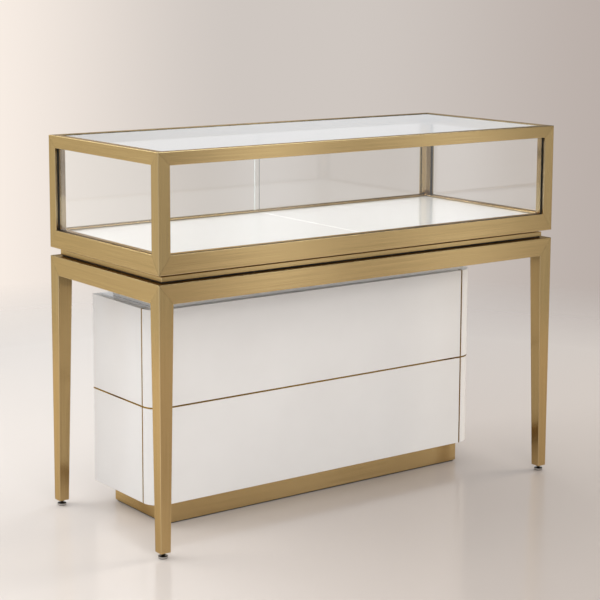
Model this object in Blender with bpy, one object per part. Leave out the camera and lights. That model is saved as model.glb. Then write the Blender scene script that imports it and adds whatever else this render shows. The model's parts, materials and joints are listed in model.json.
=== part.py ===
"""Jewelry showcase: a gold-framed glass case on a tapered-leg table, over a white cabinet with two drawers.

X runs along the counter, -Y is the customer's side, Z is up from the floor. Metres.
"""

import math

import bmesh
import bpy
from mathutils import Vector

# Overall
LENGTH = 1.200              # over the frame, left to right
DEPTH = 0.500               # over the frame, front to back
TABLE_HEIGHT = 0.627        # floor to the top of the table frame
CASE_HEIGHT = 0.2726        # over the frame of the glass case
FIT = 0.0003                # gap between pieces that touch
EDGE_R = 0.0012             # rounding of the gold bars' long edges
EDGE_STEPS = 2              # facets of that rounding
SMOOTH_ANGLE = 35           # degrees: facets that turn less are shaded as one surface
CUT_TOLERANCE = 1e-7        # corners this near a cutting plane count as on it

# Frame of the glass case
POST_W = 0.031              # face of a post, and depth of every rail
TOP_RAIL_H = 0.030
BASE_RAIL_H = 0.044
GLASS_T = 0.005             # front, left and right panes
GASKET_T = 0.0009           # wall of the rubber channel round a pane
GROOVE_SET = 0.0055         # outer face of the frame to the pane's groove
GROOVE_DEPTH = 0.009
TOP_GLASS_T = 0.006
TOP_REBATE_W = 0.008        # ledge under the edge of the top glass
GLASS_ARRIS = 0.0006        # ground edges of loose glass

# Deck of the case
DECK_T = 0.016
DECK_DROP = 0.004           # deck below the top of the base rails
DECK_SEAM = 0.0008          # joint between the two panels
DECK_EDGE = 0.0008          # eased edge of the panels
LEDGE_W = 0.012             # ledge of the base rails under the deck
LEDGE_T = 0.010

# Sliding glass doors and their tracks
DOOR_T = 0.005
DOOR_PLAY = 0.0007          # beside the glass in its groove
DOOR_OVERLAP = 0.010        # where the two doors pass at mid-length
DOOR_END_GAP = 0.002        # end of a door to the bottom of the post's groove
DOOR_LIFT = 0.008           # room above a door to lift it out
TRACK_SET = 0.0044          # rear face of the frame to the tracks
TRACK_WALL = 0.0016
LOWER_TRACK_H = 0.009
UPPER_TRACK_H = 0.016

# Band between case and table
BAND_BOARD_T = 0.0175       # gold-edged board under the case
BAND_SET = 0.018            # frame face to the board's edge
SHADOW_H = 0.0055           # shadow gap along the board's upper edge
SHADOW_W = 0.010
SHEET_T = 0.002             # black isolating sheet under it
SHEET_SET = 0.021

# Table
LEG_W = 0.038               # leg at the rails, and depth of the rails
LEG_FOOT_W = 0.026          # leg at its lower end
TABLE_RAIL_H = 0.046
FOOT_HEIGHT = 0.014         # floor to the lower end of the legs
FOOT_D = 0.022
FOOT_DISC_H = 0.006
FOOT_RIM = 0.0012           # eased rim of the disc
NUT_D = 0.012
STUD_D = 0.008
STUD_UP = 0.020             # stud inside the leg
STUD_PLAY = 0.0004          # round the stud in the leg's socket
TURN_STEPS = 20

# Cabinet
CABINET_SIDE_SET = 0.095    # table's side face to the cabinet's side
CABINET_FRONT_SET = 0.189   # table's front face to the cabinet's front
CABINET_REAR_SET = 0.035
CABINET_TOP_GAP = 0.054     # table rail to the cabinet's top
PLINTH_H = 0.054
PLINTH_SIDE_SET = 0.043     # cabinet's side to the plinth's end
PLINTH_FRONT_SET = 0.015
PLINTH_REAR_SET = 0.025
NECK_SIDE_SET = 0.031       # cabinet's side to the neck's end
NECK_FRONT_SET = 0.013
NECK_REAR_SET = 0.046
BOARD_T = 0.018
CORNER_R = 0.043            # rounded front corners
CORNER_STEPS = 10
INLAY_W = 0.0035            # gold inlays, across
INLAY_T = 0.0018            # band at mid-height, through its groove
INLAY_PROUD = 0.0004

# Drawers
DRAWER_GAP = 0.002          # shadow gap round the drawer fronts
DRAWER_FRONT_T = 0.018
DRAWER_BACK_GAP = 0.035     # cabinet front board to the drawer boxes
DRAWER_SIDE_PLAY = 0.0015
DRAWER_WALL = 0.015
DRAWER_FLOOR = 0.008
DRAWER_LOW = 0.014          # drawer front's lower edge to its box
DRAWER_HIGH = 0.040         # drawer front's upper edge to its box
RUNNER_H = 0.012
RUNNER_W = 0.010            # out of the side board
RUNNER_PLAY = 0.0004
RUNNER_END = 0.003          # drawer front to the runner's end
PULL_L = 0.160
PULL_REACH = 0.027
PULL_BAR = 0.008
PULL_DROP = 0.062           # drawer front's upper edge to the middle of the pull
PULL_BEND = 0.006           # outer radius of the pull's bends
LOCK_D = 0.018
LOCK_PLAY = 0.0003
LOCK_PROUD = 0.0015
LOCK_DROP = 0.022           # drawer front's upper edge to the lock's axis
LOCK_TONGUE_W = 0.010
LOCK_TONGUE_T = 0.003
LOCK_REACH = 0.029          # tongue's tip from the lock's axis
MORTISE_DEPTH = 0.010       # pocket for the tongue, up into the top board
MORTISE_PLAY = 0.0015

# Places that follow from the sizes above
SIDE = LENGTH / 2
FACE = DEPTH / 2
SHEET_LOW = TABLE_HEIGHT + FIT
BAND_LOW = SHEET_LOW + SHEET_T + FIT
CASE_LOW = BAND_LOW + BAND_BOARD_T + FIT
CASE_TOP = CASE_LOW + CASE_HEIGHT
SILL = CASE_LOW + BASE_RAIL_H               # top of the base rails
HEAD = CASE_TOP - TOP_RAIL_H                # underside of the top rails
INNER_SIDE = SIDE - POST_W
INNER_FACE = FACE - POST_W
GROOVE_W = GLASS_T + 2 * GASKET_T + 4 * FIT
GROOVE_END = GROOVE_SET + GROOVE_W
DOOR_SLOT = DOOR_T + 2 * DOOR_PLAY
TRACK_W = 2 * DOOR_SLOT + 3 * TRACK_WALL
TRACK_PITCH = DOOR_SLOT + TRACK_WALL
OUTER_RUN = TRACK_SET + TRACK_WALL + DOOR_SLOT / 2    # rear face to the middle of a door
INNER_RUN = OUTER_RUN + TRACK_PITCH
CABINET_SIDE = SIDE - CABINET_SIDE_SET
CABINET_FRONT = -FACE + CABINET_FRONT_SET
CABINET_REAR = FACE - CABINET_REAR_SET
CABINET_LOW = PLINTH_H + FIT
CABINET_TOP = TABLE_HEIGHT - TABLE_RAIL_H - CABINET_TOP_GAP
INLAY_Z = (CABINET_LOW + CABINET_TOP) / 2
INLAY_SEAT = INLAY_T - INLAY_PROUD + FIT    # depth of the band's groove
BEND_X = CABINET_SIDE - CORNER_R            # where the rounded corners begin
BEND_Y = CABINET_FRONT + CORNER_R
FRONT_H = (CABINET_TOP - CABINET_LOW - 2 * BOARD_T - 3 * DRAWER_GAP) / 2
FRONT_IN = CABINET_REAR - DRAWER_FRONT_T    # inner face of the drawer fronts


def clear_scene():
    for obj in list(bpy.data.objects):
        bpy.data.objects.remove(obj, do_unlink=True)


def finish(name, colour, roughness, metallic=0.0, transmission=0.0):
    """A Principled material of one colour."""
    material = bpy.data.materials.new(name)
    material.use_nodes = True
    shader = material.node_tree.nodes["Principled BSDF"]
    shader.inputs["Base Color"].default_value = (*colour, 1.0)
    shader.inputs["Roughness"].default_value = roughness
    shader.inputs["Metallic"].default_value = metallic
    shader.inputs["Transmission Weight"].default_value = transmission
    material.diffuse_color = (*colour, 1.0)
    return material


def add(name, bm, material, smooth=False):
    """Turns a bmesh into a named object with its faces pointing out."""
    bmesh.ops.recalc_face_normals(bm, faces=bm.faces)
    mesh = bpy.data.meshes.new(name)
    bm.to_mesh(mesh)
    bm.free()
    if material:
        mesh.materials.append(material)
    if smooth:
        mesh.shade_smooth()
        mesh.set_sharp_from_angle(angle=math.radians(SMOOTH_ANGLE))
    obj = bpy.data.objects.new(name, mesh)
    bpy.context.collection.objects.link(obj)
    return obj


def loft(sections):
    """A closed skin over sections of equally many points, with its two ends capped."""
    bm = bmesh.new()
    rings = [[bm.verts.new(point) for point in section] for section in sections]
    for ring, following in zip(rings, rings[1:]):
        for i, vert in enumerate(ring):
            bm.faces.new((ring[i - 1], vert, following[i], following[i - 1]))
    bm.faces.new(rings[0])
    bm.faces.new(rings[-1])
    return bm


def block(low, high, ease=0.0):
    """A box between two corners, with its edges eased."""
    plan = ((low[0], low[1]), (high[0], low[1]), (high[0], high[1]), (low[0], high[1]))
    bm = loft([[(*point, z) for point in plan] for z in (low[2], high[2])])
    if ease:
        bmesh.ops.bevel(bm, geom=bm.edges[:], offset=ease, segments=1, affect="EDGES")
    return bm


def rounded(corners, steps=EDGE_STEPS):
    """The outline through corners (u, v, radius), with each radius drawn as an arc."""
    outline = []
    for i, (u, v, radius) in enumerate(corners):
        corner = Vector((u, v))
        if radius <= 0:
            outline.append(corner)
            continue
        back = (Vector(corners[i - 1][:2]) - corner).normalized()
        onward = (Vector(corners[(i + 1) % len(corners)][:2]) - corner).normalized()
        half = back.angle(onward) / 2
        centre = corner + (back + onward).normalized() * radius / math.sin(half)
        start = corner + back * radius / math.tan(half) - centre
        end = corner + onward * radius / math.tan(half) - centre
        first = math.atan2(start.y, start.x)
        sweep = (math.atan2(end.y, end.x) - first + math.pi) % math.tau - math.pi
        for step in range(steps + 1):
            angle = first + sweep * step / steps
            outline.append(centre + radius * Vector((math.cos(angle), math.sin(angle))))
    return outline


def turned(profile, centre):
    """A turned solid: the profile's (radius, z) points carried round a vertical axis."""
    sections = []
    for radius, z in profile:
        angles = [math.tau * i / TURN_STEPS for i in range(TURN_STEPS)]
        sections.append([Vector((radius * math.cos(a), radius * math.sin(a), z)) + centre for a in angles])
    return loft(sections)


def trim(bm, point, normal):
    """Cuts away what lies beyond a plane and closes the cut."""
    geometry = bm.verts[:] + bm.edges[:] + bm.faces[:]
    cut = bmesh.ops.bisect_plane(bm, geom=geometry, dist=CUT_TOLERANCE, plane_co=point,
                                 plane_no=normal, clear_outer=True)
    rim = [part for part in cut["geom_cut"] if isinstance(part, bmesh.types.BMEdge)]
    bmesh.ops.holes_fill(bm, edges=rim, sides=0)


def mitre(bm, corner, inward, sizes, axis):
    """Cuts a bar's end where three bars meet at an outer corner.

    Each bar keeps the part of the corner block in which its own share of the block's size is the largest.
    """
    along = Vector((0, 0, 0))
    along[axis] = inward[axis] / sizes[axis]
    for other in range(3):
        if other != axis:
            across = Vector((0, 0, 0))
            across[other] = inward[other] / sizes[other]
            normal = (along - across).normalized()
            trim(bm, corner + normal * FIT / 2, -normal)


def rail_along_x(name, profile, back, level, inward_z, sizes, material):
    """A front (back = -1) or rear (back = 1) rail. The profile runs in from the face and the level."""
    ends = [[Vector((x, back * (FACE - p), level + inward_z * q)) for p, q in profile] for x in (-SIDE, SIDE)]
    bm = loft(ends)
    for hand in (-1, 1):
        mitre(bm, Vector((hand * SIDE, back * FACE, level)), (-hand, -back, inward_z), sizes, 0)
    return add(name, bm, material)


def rail_along_y(name, profile, hand, level, inward_z, sizes, material):
    """A left (hand = -1) or right (hand = 1) rail."""
    ends = [[Vector((hand * (SIDE - p), y, level + inward_z * q)) for p, q in profile] for y in (-FACE, FACE)]
    bm = loft(ends)
    for back in (-1, 1):
        mitre(bm, Vector((hand * SIDE, back * FACE, level)), (-hand, -back, inward_z), sizes, 1)
    return add(name, bm, material)


def hidden_tool(name, bm):
    """A cutter or an addition for a Boolean, which isn't a piece of its own."""
    tool = add(name, bm, None)
    tool.hide_render = True
    tool.display_type = "WIRE"
    return tool


def combine(obj, tool, operation):
    modifier = obj.modifiers.new(tool.name, "BOOLEAN")
    modifier.operation = operation
    modifier.object = tool
    modifier.solver = "EXACT"


def gather(name, pieces, origin):
    """Parents pieces that move together to an empty at their joint, and leaves them where they are."""
    joint = bpy.data.objects.new(name, None)
    joint.location = origin
    bpy.context.collection.objects.link(joint)
    for piece in pieces:
        piece.parent = joint
        piece.location -= Vector(origin)
    return joint


def hands():
    return ((-1, "left"), (1, "right"))


def backs():
    return ((-1, "front"), (1, "rear"))


def case_frame(gold):
    """Posts and rails of the glass case, with grooves for the panes, the doors' tracks and the top glass."""
    top_sizes = (POST_W, POST_W, TOP_RAIL_H)
    base_sizes = (POST_W, POST_W, BASE_RAIL_H)
    rebate_x = POST_W - TOP_REBATE_W
    rebate_z = TOP_GLASS_T + FIT
    track_end = TRACK_SET + TRACK_W + 2 * FIT
    ledge_top = BASE_RAIL_H - DECK_DROP - DECK_T - FIT

    def top_profile(start, end, depth):
        return rounded([(0, 0, EDGE_R), (rebate_x, 0, 0), (rebate_x, rebate_z, 0), (POST_W, rebate_z, 0),
                        (POST_W, TOP_RAIL_H, EDGE_R), (end, TOP_RAIL_H, 0), (end, TOP_RAIL_H - depth, 0),
                        (start, TOP_RAIL_H - depth, 0), (start, TOP_RAIL_H, 0), (0, TOP_RAIL_H, EDGE_R)])

    def base_profile(start, end, depth):
        return rounded([(0, 0, EDGE_R), (POST_W, 0, EDGE_R), (POST_W, ledge_top - LEDGE_T, 0),
                        (POST_W + LEDGE_W, ledge_top - LEDGE_T, 0), (POST_W + LEDGE_W, ledge_top, 0),
                        (POST_W, ledge_top, 0), (POST_W, BASE_RAIL_H, EDGE_R), (end, BASE_RAIL_H, 0),
                        (end, BASE_RAIL_H - depth, 0), (start, BASE_RAIL_H - depth, 0),
                        (start, BASE_RAIL_H, 0), (0, BASE_RAIL_H, EDGE_R)])

    def post_profile(start, end):
        """Groove for a side pane in the inner Y face, and one between start and end in the inner X face."""
        bottom = POST_W - GROOVE_DEPTH
        return rounded([(0, 0, EDGE_R), (POST_W, 0, EDGE_R), (POST_W, start, 0), (bottom, start, 0),
                        (bottom, end, 0), (POST_W, end, 0), (POST_W, POST_W, EDGE_R), (GROOVE_END, POST_W, 0),
                        (GROOVE_END, bottom, 0), (GROOVE_SET, bottom, 0), (GROOVE_SET, POST_W, 0),
                        (0, POST_W, EDGE_R)])

    pane = (GROOVE_SET, GROOVE_END, GROOVE_DEPTH)
    lower_slot = (TRACK_SET - FIT, track_end - FIT, LOWER_TRACK_H + FIT)
    upper_slot = (TRACK_SET - FIT, track_end - FIT, UPPER_TRACK_H + FIT)
    for back, side in backs():
        top = top_profile(*(pane if back < 0 else upper_slot))
        base = base_profile(*(pane if back < 0 else lower_slot))
        rail_along_x(f"case_top_rail_{side}", top, back, CASE_TOP, -1, top_sizes, gold)
        rail_along_x(f"case_base_rail_{side}", base, back, CASE_LOW, 1, base_sizes, gold)
    for hand, side in hands():
        rail_along_y(f"case_top_rail_{side}", top_profile(*pane), hand, CASE_TOP, -1, top_sizes, gold)
        rail_along_y(f"case_base_rail_{side}", base_profile(*pane), hand, CASE_LOW, 1, base_sizes, gold)
    for back, end in backs():
        for hand, side in hands():
            if back < 0:
                profile = post_profile(GROOVE_SET, GROOVE_END)
            else:
                run = INNER_RUN if hand < 0 else OUTER_RUN
                profile = post_profile(run - DOOR_SLOT / 2, run + DOOR_SLOT / 2)
            bm = loft([[Vector((hand * (SIDE - p), back * (FACE - q), z)) for p, q in profile]
                       for z in (CASE_LOW, CASE_TOP)])
            mitre(bm, Vector((hand * SIDE, back * FACE, CASE_TOP)), (-hand, -back, -1), top_sizes, 2)
            mitre(bm, Vector((hand * SIDE, back * FACE, CASE_LOW)), (-hand, -back, 1), base_sizes, 2)
            add(f"case_post_{end}_{side}", bm, gold)


def pane_and_gasket(name, place, half, glass, rubber):
    """A fixed pane with a U-shaped rubber channel round its edge.

    place(u, v, z) puts a point u along the pane, v in from the frame's outer face, at height z.
    """
    reach = GROOVE_DEPTH - GASKET_T - 2 * FIT
    inner = GROOVE_SET + GASKET_T + 2 * FIT
    edges = ((-half - reach, SILL - reach), (half + reach, HEAD + reach))
    corners = ((0, 0), (1, 0), (1, 1), (0, 1))
    bm = loft([[place(edges[i][0], v, edges[j][1]) for i, j in corners] for v in (inner, inner + GLASS_T)])
    add(f"{name}_glass", bm, glass)
    outer_v = (GROOVE_SET + FIT, GROOVE_END - FIT)
    inner_v = (outer_v[0] + GASKET_T, outer_v[1] - GASKET_T)
    deep = GROOVE_DEPTH - FIT
    seat = deep - GASKET_T
    channel = ((0, outer_v[0]), (deep, outer_v[0]), (deep, outer_v[1]), (0, outer_v[1]),
               (0, inner_v[1]), (seat, inner_v[1]), (seat, inner_v[0]), (0, inner_v[0]))
    ring = bmesh.new()
    rows = []
    for across, up in ((-1, -1), (1, -1), (1, 1), (-1, 1)):
        level = HEAD if up > 0 else SILL
        rows.append([ring.verts.new(place(across * (half + e), v, level + up * e)) for e, v in channel])
    for row, onward in zip(rows, rows[1:] + rows[:1]):
        for i in range(len(channel)):
            ring.faces.new((row[i - 1], row[i], onward[i], onward[i - 1]))
    add(f"{name}_gasket", ring, rubber)


def case_glass(glass, rubber):
    pane_and_gasket("front", lambda u, v, z: Vector((u, -FACE + v, z)), INNER_SIDE, glass, rubber)
    pane_and_gasket("left", lambda u, v, z: Vector((-SIDE + v, u, z)), INNER_FACE, glass, rubber)
    pane_and_gasket("right", lambda u, v, z: Vector((SIDE - v, u, z)), INNER_FACE, glass, rubber)
    edge = POST_W - TOP_REBATE_W + FIT
    low = (-SIDE + edge, -FACE + edge, CASE_TOP - TOP_GLASS_T)
    high = (SIDE - edge, FACE - edge, CASE_TOP)
    add("top_glass", block(low, high, GLASS_ARRIS), glass)


def deck(lacquer):
    """Two panels on the ledges of the base rails, with a fine joint at mid-length."""
    top = SILL - DECK_DROP
    for hand, side in hands():
        ends = sorted((hand * DECK_SEAM / 2, hand * (INNER_SIDE - FIT)))
        low = (ends[0], -INNER_FACE + FIT, top - DECK_T)
        high = (ends[1], INNER_FACE - FIT, top)
        add(f"deck_panel_{side}", block(low, high, DECK_EDGE), lacquer)


def door_tracks(gold):
    """Double channels let into the rear rails: the lower one opens upwards, the upper one downwards."""
    for name, mouth, up, height in (("lower", SILL, -1, LOWER_TRACK_H), ("upper", HEAD, 1, UPPER_TRACK_H)):
        floor = height - TRACK_WALL
        profile = [(0, 0), (0, height), (TRACK_W, height), (TRACK_W, 0)]
        for run in (TRACK_PITCH, 0):
            near, far = TRACK_WALL + run + DOOR_SLOT, TRACK_WALL + run
            profile += [(near, 0), (near, floor), (far, floor), (far, 0)]
        end = INNER_SIDE - FIT
        sections = [[Vector((x, FACE - TRACK_SET - p, mouth + up * q)) for p, q in profile]
                    for x in (-end, end)]
        add(f"door_track_{name}", loft(sections), gold)


def glass_doors(glass):
    """Two sliding panes: the left on the inner run, the right on the outer one."""
    low = SILL - LOWER_TRACK_H + TRACK_WALL + FIT
    high = HEAD + UPPER_TRACK_H - TRACK_WALL - DOOR_LIFT
    for hand, side in hands():
        y = FACE - (INNER_RUN if hand < 0 else OUTER_RUN)
        outer = hand * (INNER_SIDE + GROOVE_DEPTH - DOOR_END_GAP)
        ends = sorted((outer, -hand * DOOR_OVERLAP / 2))
        pane = block((ends[0], y - DOOR_T / 2, low), (ends[1], y + DOOR_T / 2, high), GLASS_ARRIS)
        door = add(f"glass_door_{side}", pane, glass)
        gather(f"door_slide_{side}", [door], (ends[0] / 2 + ends[1] / 2, y, low))


def band(gold, rubber):
    """The recessed gold-edged board, with a shadow gap round its top, and the black sheet under it."""
    x, y = SIDE - BAND_SET, FACE - BAND_SET
    top = BAND_LOW + BAND_BOARD_T
    step = top - SHADOW_H
    rings = ((EDGE_R, BAND_LOW), (0, BAND_LOW + EDGE_R), (0, step - EDGE_R), (EDGE_R, step),
             (SHADOW_W, step), (SHADOW_W, top))
    corners = ((-1, -1), (1, -1), (1, 1), (-1, 1))
    sections = [[Vector((u * (x - inset), v * (y - inset), z)) for u, v in corners] for inset, z in rings]
    add("band_board", loft(sections), gold)
    x, y = SIDE - SHEET_SET, FACE - SHEET_SET
    add("isolating_sheet", block((-x, -y, SHEET_LOW), (x, y, SHEET_LOW + SHEET_T)), rubber)


def square(width, height):
    """A bar's section, measured inwards from its two outer faces."""
    return rounded([(0, 0, EDGE_R), (width, 0, EDGE_R), (width, height, EDGE_R), (0, height, EDGE_R)])


def table(gold, steel):
    """Rails and tapered legs, mitred where they meet, and the levelling feet in the legs' sockets."""
    sizes = (LEG_W, LEG_W, TABLE_RAIL_H)
    profile = square(LEG_W, TABLE_RAIL_H)
    for back, side in backs():
        rail_along_x(f"table_rail_{side}", profile, back, TABLE_HEIGHT, -1, sizes, gold)
    for hand, side in hands():
        rail_along_y(f"table_rail_{side}", profile, hand, TABLE_HEIGHT, -1, sizes, gold)
    levels = ((LEG_FOOT_W, FOOT_HEIGHT), (LEG_W, TABLE_HEIGHT - TABLE_RAIL_H), (LEG_W, TABLE_HEIGHT))
    for back, end in backs():
        for hand, side in hands():
            corner = Vector((hand * SIDE, back * FACE, TABLE_HEIGHT))
            sections = [[Vector((hand * (SIDE - p), back * (FACE - q), z)) for p, q in square(width, width)]
                        for width, z in levels]
            bm = loft(sections)
            mitre(bm, corner, (-hand, -back, -1), sizes, 2)
            leg = add(f"table_leg_{end}_{side}", bm, gold)
            axis = Vector((hand * (SIDE - LEG_FOOT_W / 2), back * (FACE - LEG_FOOT_W / 2), 0))
            bore = STUD_D / 2 + STUD_PLAY
            socket = turned([(bore, FOOT_HEIGHT - STUD_UP), (bore, FOOT_HEIGHT + STUD_UP + STUD_PLAY)], axis)
            combine(leg, hidden_tool(f"socket_{end}_{side}", socket), "DIFFERENCE")
            foot = levelling_foot(f"levelling_foot_{end}_{side}", steel)
            foot.location = axis


def levelling_foot(name, steel):
    """A disc with an eased rim, a nut under the leg and the stud that screws into it."""
    wide, nut, stud = FOOT_D / 2, NUT_D / 2, STUD_D / 2
    under = FOOT_HEIGHT - FIT
    nut_low = under - FOOT_DISC_H / 2
    profile = [(wide - FOOT_RIM, 0), (wide, FOOT_RIM), (wide, FOOT_DISC_H - FOOT_RIM),
               (wide - FOOT_RIM, FOOT_DISC_H), (stud, FOOT_DISC_H + FOOT_RIM), (stud, nut_low),
               (nut, nut_low), (nut, under), (stud, under), (stud, FOOT_HEIGHT + STUD_UP)]
    return add(name, turned(profile, Vector((0, 0, 0))), steel, smooth=True)


def outline(offset):
    """The cabinet's plan from its rear left corner round the front, moved out by the offset."""
    radius = max(CORNER_R + offset, 0)
    path = [Vector((-CABINET_SIDE - offset, CABINET_REAR))]
    for hand, start in ((-1, math.pi), (1, 1.5 * math.pi)):
        for step in range(CORNER_STEPS + 1):
            angle = start + step / CORNER_STEPS * math.pi / 2
            path.append(Vector((hand * BEND_X, BEND_Y)) + radius * Vector((math.cos(angle), math.sin(angle))))
    path.append(Vector((CABINET_SIDE + offset, CABINET_REAR)))
    return path


def inlaid(outside, inside):
    """A board's section (depth, z), measured outwards from its face, with the band's groove in it."""
    low, high = INLAY_Z - INLAY_W / 2 - FIT, INLAY_Z + INLAY_W / 2 + FIT
    seat = -INLAY_SEAT
    return [(inside, CABINET_LOW), (outside, CABINET_LOW), (outside, low), (seat, low), (seat, high),
            (outside, high), (outside, CABINET_TOP), (inside, CABINET_TOP)]


def cabinet_shell(lacquer, gold):
    """Front, sides and quarter-round corners, parted by gold strips, with a gold band let into them."""
    wall = inlaid(0, -BOARD_T)
    strip = inlaid(INLAY_PROUD, -BOARD_T)
    slot = INLAY_W + 2 * FIT
    ends = (-BEND_X + slot, BEND_X - slot)
    add("cabinet_front", loft([[Vector((x, CABINET_FRONT - d, z)) for d, z in wall] for x in ends]), lacquer)
    for hand, side in hands():
        start = math.pi if hand < 0 else 1.5 * math.pi
        sections = []
        for step in range(CORNER_STEPS + 1):
            angle = start + step / CORNER_STEPS * math.pi / 2
            out = Vector((math.cos(angle), math.sin(angle), 0))
            centre = Vector((hand * BEND_X, BEND_Y, 0))
            sections.append([centre + out * (CORNER_R + d) + Vector((0, 0, z)) for d, z in wall])
        add(f"cabinet_corner_{side}", loft(sections), lacquer, smooth=True)
        faces = (BEND_Y + slot, CABINET_REAR)
        bm = loft([[Vector((hand * (CABINET_SIDE + d), y, z)) for d, z in wall] for y in faces])
        board = add(f"cabinet_side_{side}", bm, lacquer)
        for level, lowest in drawer_levels():
            combine(board, runner(f"runner_{level}_{side}", hand, lowest), "UNION")
        across = (hand * (BEND_X - FIT), hand * (BEND_X - FIT - INLAY_W))
        bm = loft([[Vector((x, CABINET_FRONT - d, z)) for d, z in strip] for x in across])
        add(f"inlay_strip_front_{side}", bm, gold)
        along = (BEND_Y + FIT, BEND_Y + FIT + INLAY_W)
        bm = loft([[Vector((hand * (CABINET_SIDE + d), y, z)) for d, z in strip] for y in along])
        add(f"inlay_strip_side_{side}", bm, gold)
    outer, inner = outline(INLAY_PROUD), outline(INLAY_PROUD - INLAY_T)
    low, high = INLAY_Z - INLAY_W / 2, INLAY_Z + INLAY_W / 2
    sections = [[(*a, low), (*b, low), (*b, high), (*a, high)] for a, b in zip(outer, inner)]
    add("inlay_band", loft(sections), gold, smooth=True)


def cabinet_boards(lacquer, gold):
    """Top and bottom boards inside the shell, the neck up to the table and the recessed plinth."""
    plan = outline(-BOARD_T - FIT)
    bottom = loft([[(*p, z) for p in plan] for z in (CABINET_LOW, CABINET_LOW + BOARD_T)])
    add("cabinet_bottom", bottom, lacquer)
    top = loft([[(*p, z) for p in plan] for z in (CABINET_TOP - BOARD_T, CABINET_TOP)])
    combine(add("cabinet_top", top, lacquer), lock_mortise(), "DIFFERENCE")
    x = CABINET_SIDE - NECK_SIDE_SET
    low = (-x, CABINET_FRONT + NECK_FRONT_SET, CABINET_TOP + FIT)
    high = (x, CABINET_REAR - NECK_REAR_SET, TABLE_HEIGHT)
    add("neck", block(low, high), lacquer)
    x = CABINET_SIDE - PLINTH_SIDE_SET
    low = (-x, CABINET_FRONT + PLINTH_FRONT_SET, 0)
    high = (x, CABINET_REAR - PLINTH_REAR_SET, PLINTH_H)
    add("plinth", block(low, high, EDGE_R), gold)


def drawer_levels():
    """Name and lower edge of each drawer front."""
    lowest = CABINET_LOW + BOARD_T + DRAWER_GAP
    return (("lower", lowest), ("upper", lowest + FRONT_H + DRAWER_GAP))


def runner_z(lowest):
    """Middle of the runner, at half the height of the drawer's box."""
    return lowest + (DRAWER_LOW + FRONT_H - DRAWER_HIGH) / 2


def runner(name, hand, lowest):
    """A rail on a side board, which the groove in the drawer's side runs on."""
    inner = CABINET_SIDE - BOARD_T
    across = sorted((hand * (inner + BOARD_T / 2), hand * (inner - RUNNER_W)))
    z = runner_z(lowest)
    low = (across[0], CABINET_FRONT + BOARD_T + DRAWER_BACK_GAP, z - RUNNER_H / 2)
    high = (across[1], FRONT_IN - RUNNER_END, z + RUNNER_H / 2)
    return hidden_tool(name, block(low, high))


def drawer_box(name, lowest, ply):
    """An open tray with a groove along each side for its runner."""
    half = CABINET_SIDE - BOARD_T - DRAWER_SIDE_PLAY
    low = Vector((-half, CABINET_FRONT + BOARD_T + DRAWER_BACK_GAP, lowest + DRAWER_LOW))
    high = Vector((half, FRONT_IN - FIT, lowest + FRONT_H - DRAWER_HIGH))
    box = add(name, block(low, high), ply)
    wall = Vector((DRAWER_WALL, DRAWER_WALL, 0))
    floor = Vector((0, 0, DRAWER_FLOOR))
    hollow = block(low + wall + floor, high - wall + floor)
    combine(box, hidden_tool(f"{name}_hollow", hollow), "DIFFERENCE")
    z = runner_z(lowest)
    tall = RUNNER_H / 2 + RUNNER_PLAY
    bottom = CABINET_SIDE - BOARD_T - RUNNER_W - RUNNER_PLAY
    for hand, side in hands():
        across = sorted((hand * bottom, hand * CABINET_SIDE))
        groove = block((across[0], low.y - BOARD_T, z - tall), (across[1], high.y + BOARD_T, z + tall))
        combine(box, hidden_tool(f"{name}_groove_{side}", groove), "DIFFERENCE")
    return box


def drawer_pull(name, lowest, gold):
    """A bar bent back to the drawer front at both ends."""
    z = lowest + FRONT_H - PULL_DROP
    half, bar = PULL_L / 2, PULL_BAR
    within, under = half - bar, PULL_REACH - bar
    shape = rounded([(-half, 0, 0), (-half, PULL_REACH, PULL_BEND), (half, PULL_REACH, PULL_BEND),
                     (half, 0, 0), (within, 0, 0), (within, under, EDGE_R), (-within, under, EDGE_R),
                     (-within, 0, 0)], 2 * EDGE_STEPS)
    foot = CABINET_REAR + FIT
    bm = loft([[Vector((x, foot + y, level)) for x, y in shape] for level in (z - bar / 2, z + bar / 2)])
    return add(name, bm, gold)


def lock_axis():
    lowest = drawer_levels()[1][1]
    return Vector((0, CABINET_REAR, lowest + FRONT_H - LOCK_DROP))


def lock_round(radius):
    return [(radius * math.cos(math.tau * i / TURN_STEPS), radius * math.sin(math.tau * i / TURN_STEPS))
            for i in range(TURN_STEPS)]


def lock_mortise():
    """The pocket in the top board that the tongue swings up into."""
    back = FRONT_IN - FIT - LOCK_TONGUE_T - MORTISE_PLAY
    under = CABINET_TOP - BOARD_T
    low = (-LOCK_TONGUE_W / 2 - MORTISE_PLAY, back, under - MORTISE_DEPTH)
    high = (LOCK_REACH, FRONT_IN - FIT + MORTISE_PLAY, under + MORTISE_DEPTH)
    return hidden_tool("lock_mortise", block(low, high))


def drawer_lock(steel):
    """A barrel through the drawer front, with a tongue behind it that lies sideways when unlocked."""
    axis = lock_axis()
    barrel = [[axis + Vector((x, y, z)) for x, z in lock_round(LOCK_D / 2)]
              for y in (LOCK_PROUD, -DRAWER_FRONT_T - FIT - LOCK_TONGUE_T)]
    lock = add("drawer_lock", loft(barrel), steel, smooth=True)
    face = FRONT_IN - FIT
    low = (0, face - LOCK_TONGUE_T, axis.z - LOCK_TONGUE_W / 2)
    high = (LOCK_REACH, face, axis.z + LOCK_TONGUE_W / 2)
    combine(lock, hidden_tool("lock_tongue", block(low, high)), "UNION")
    return lock


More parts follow.
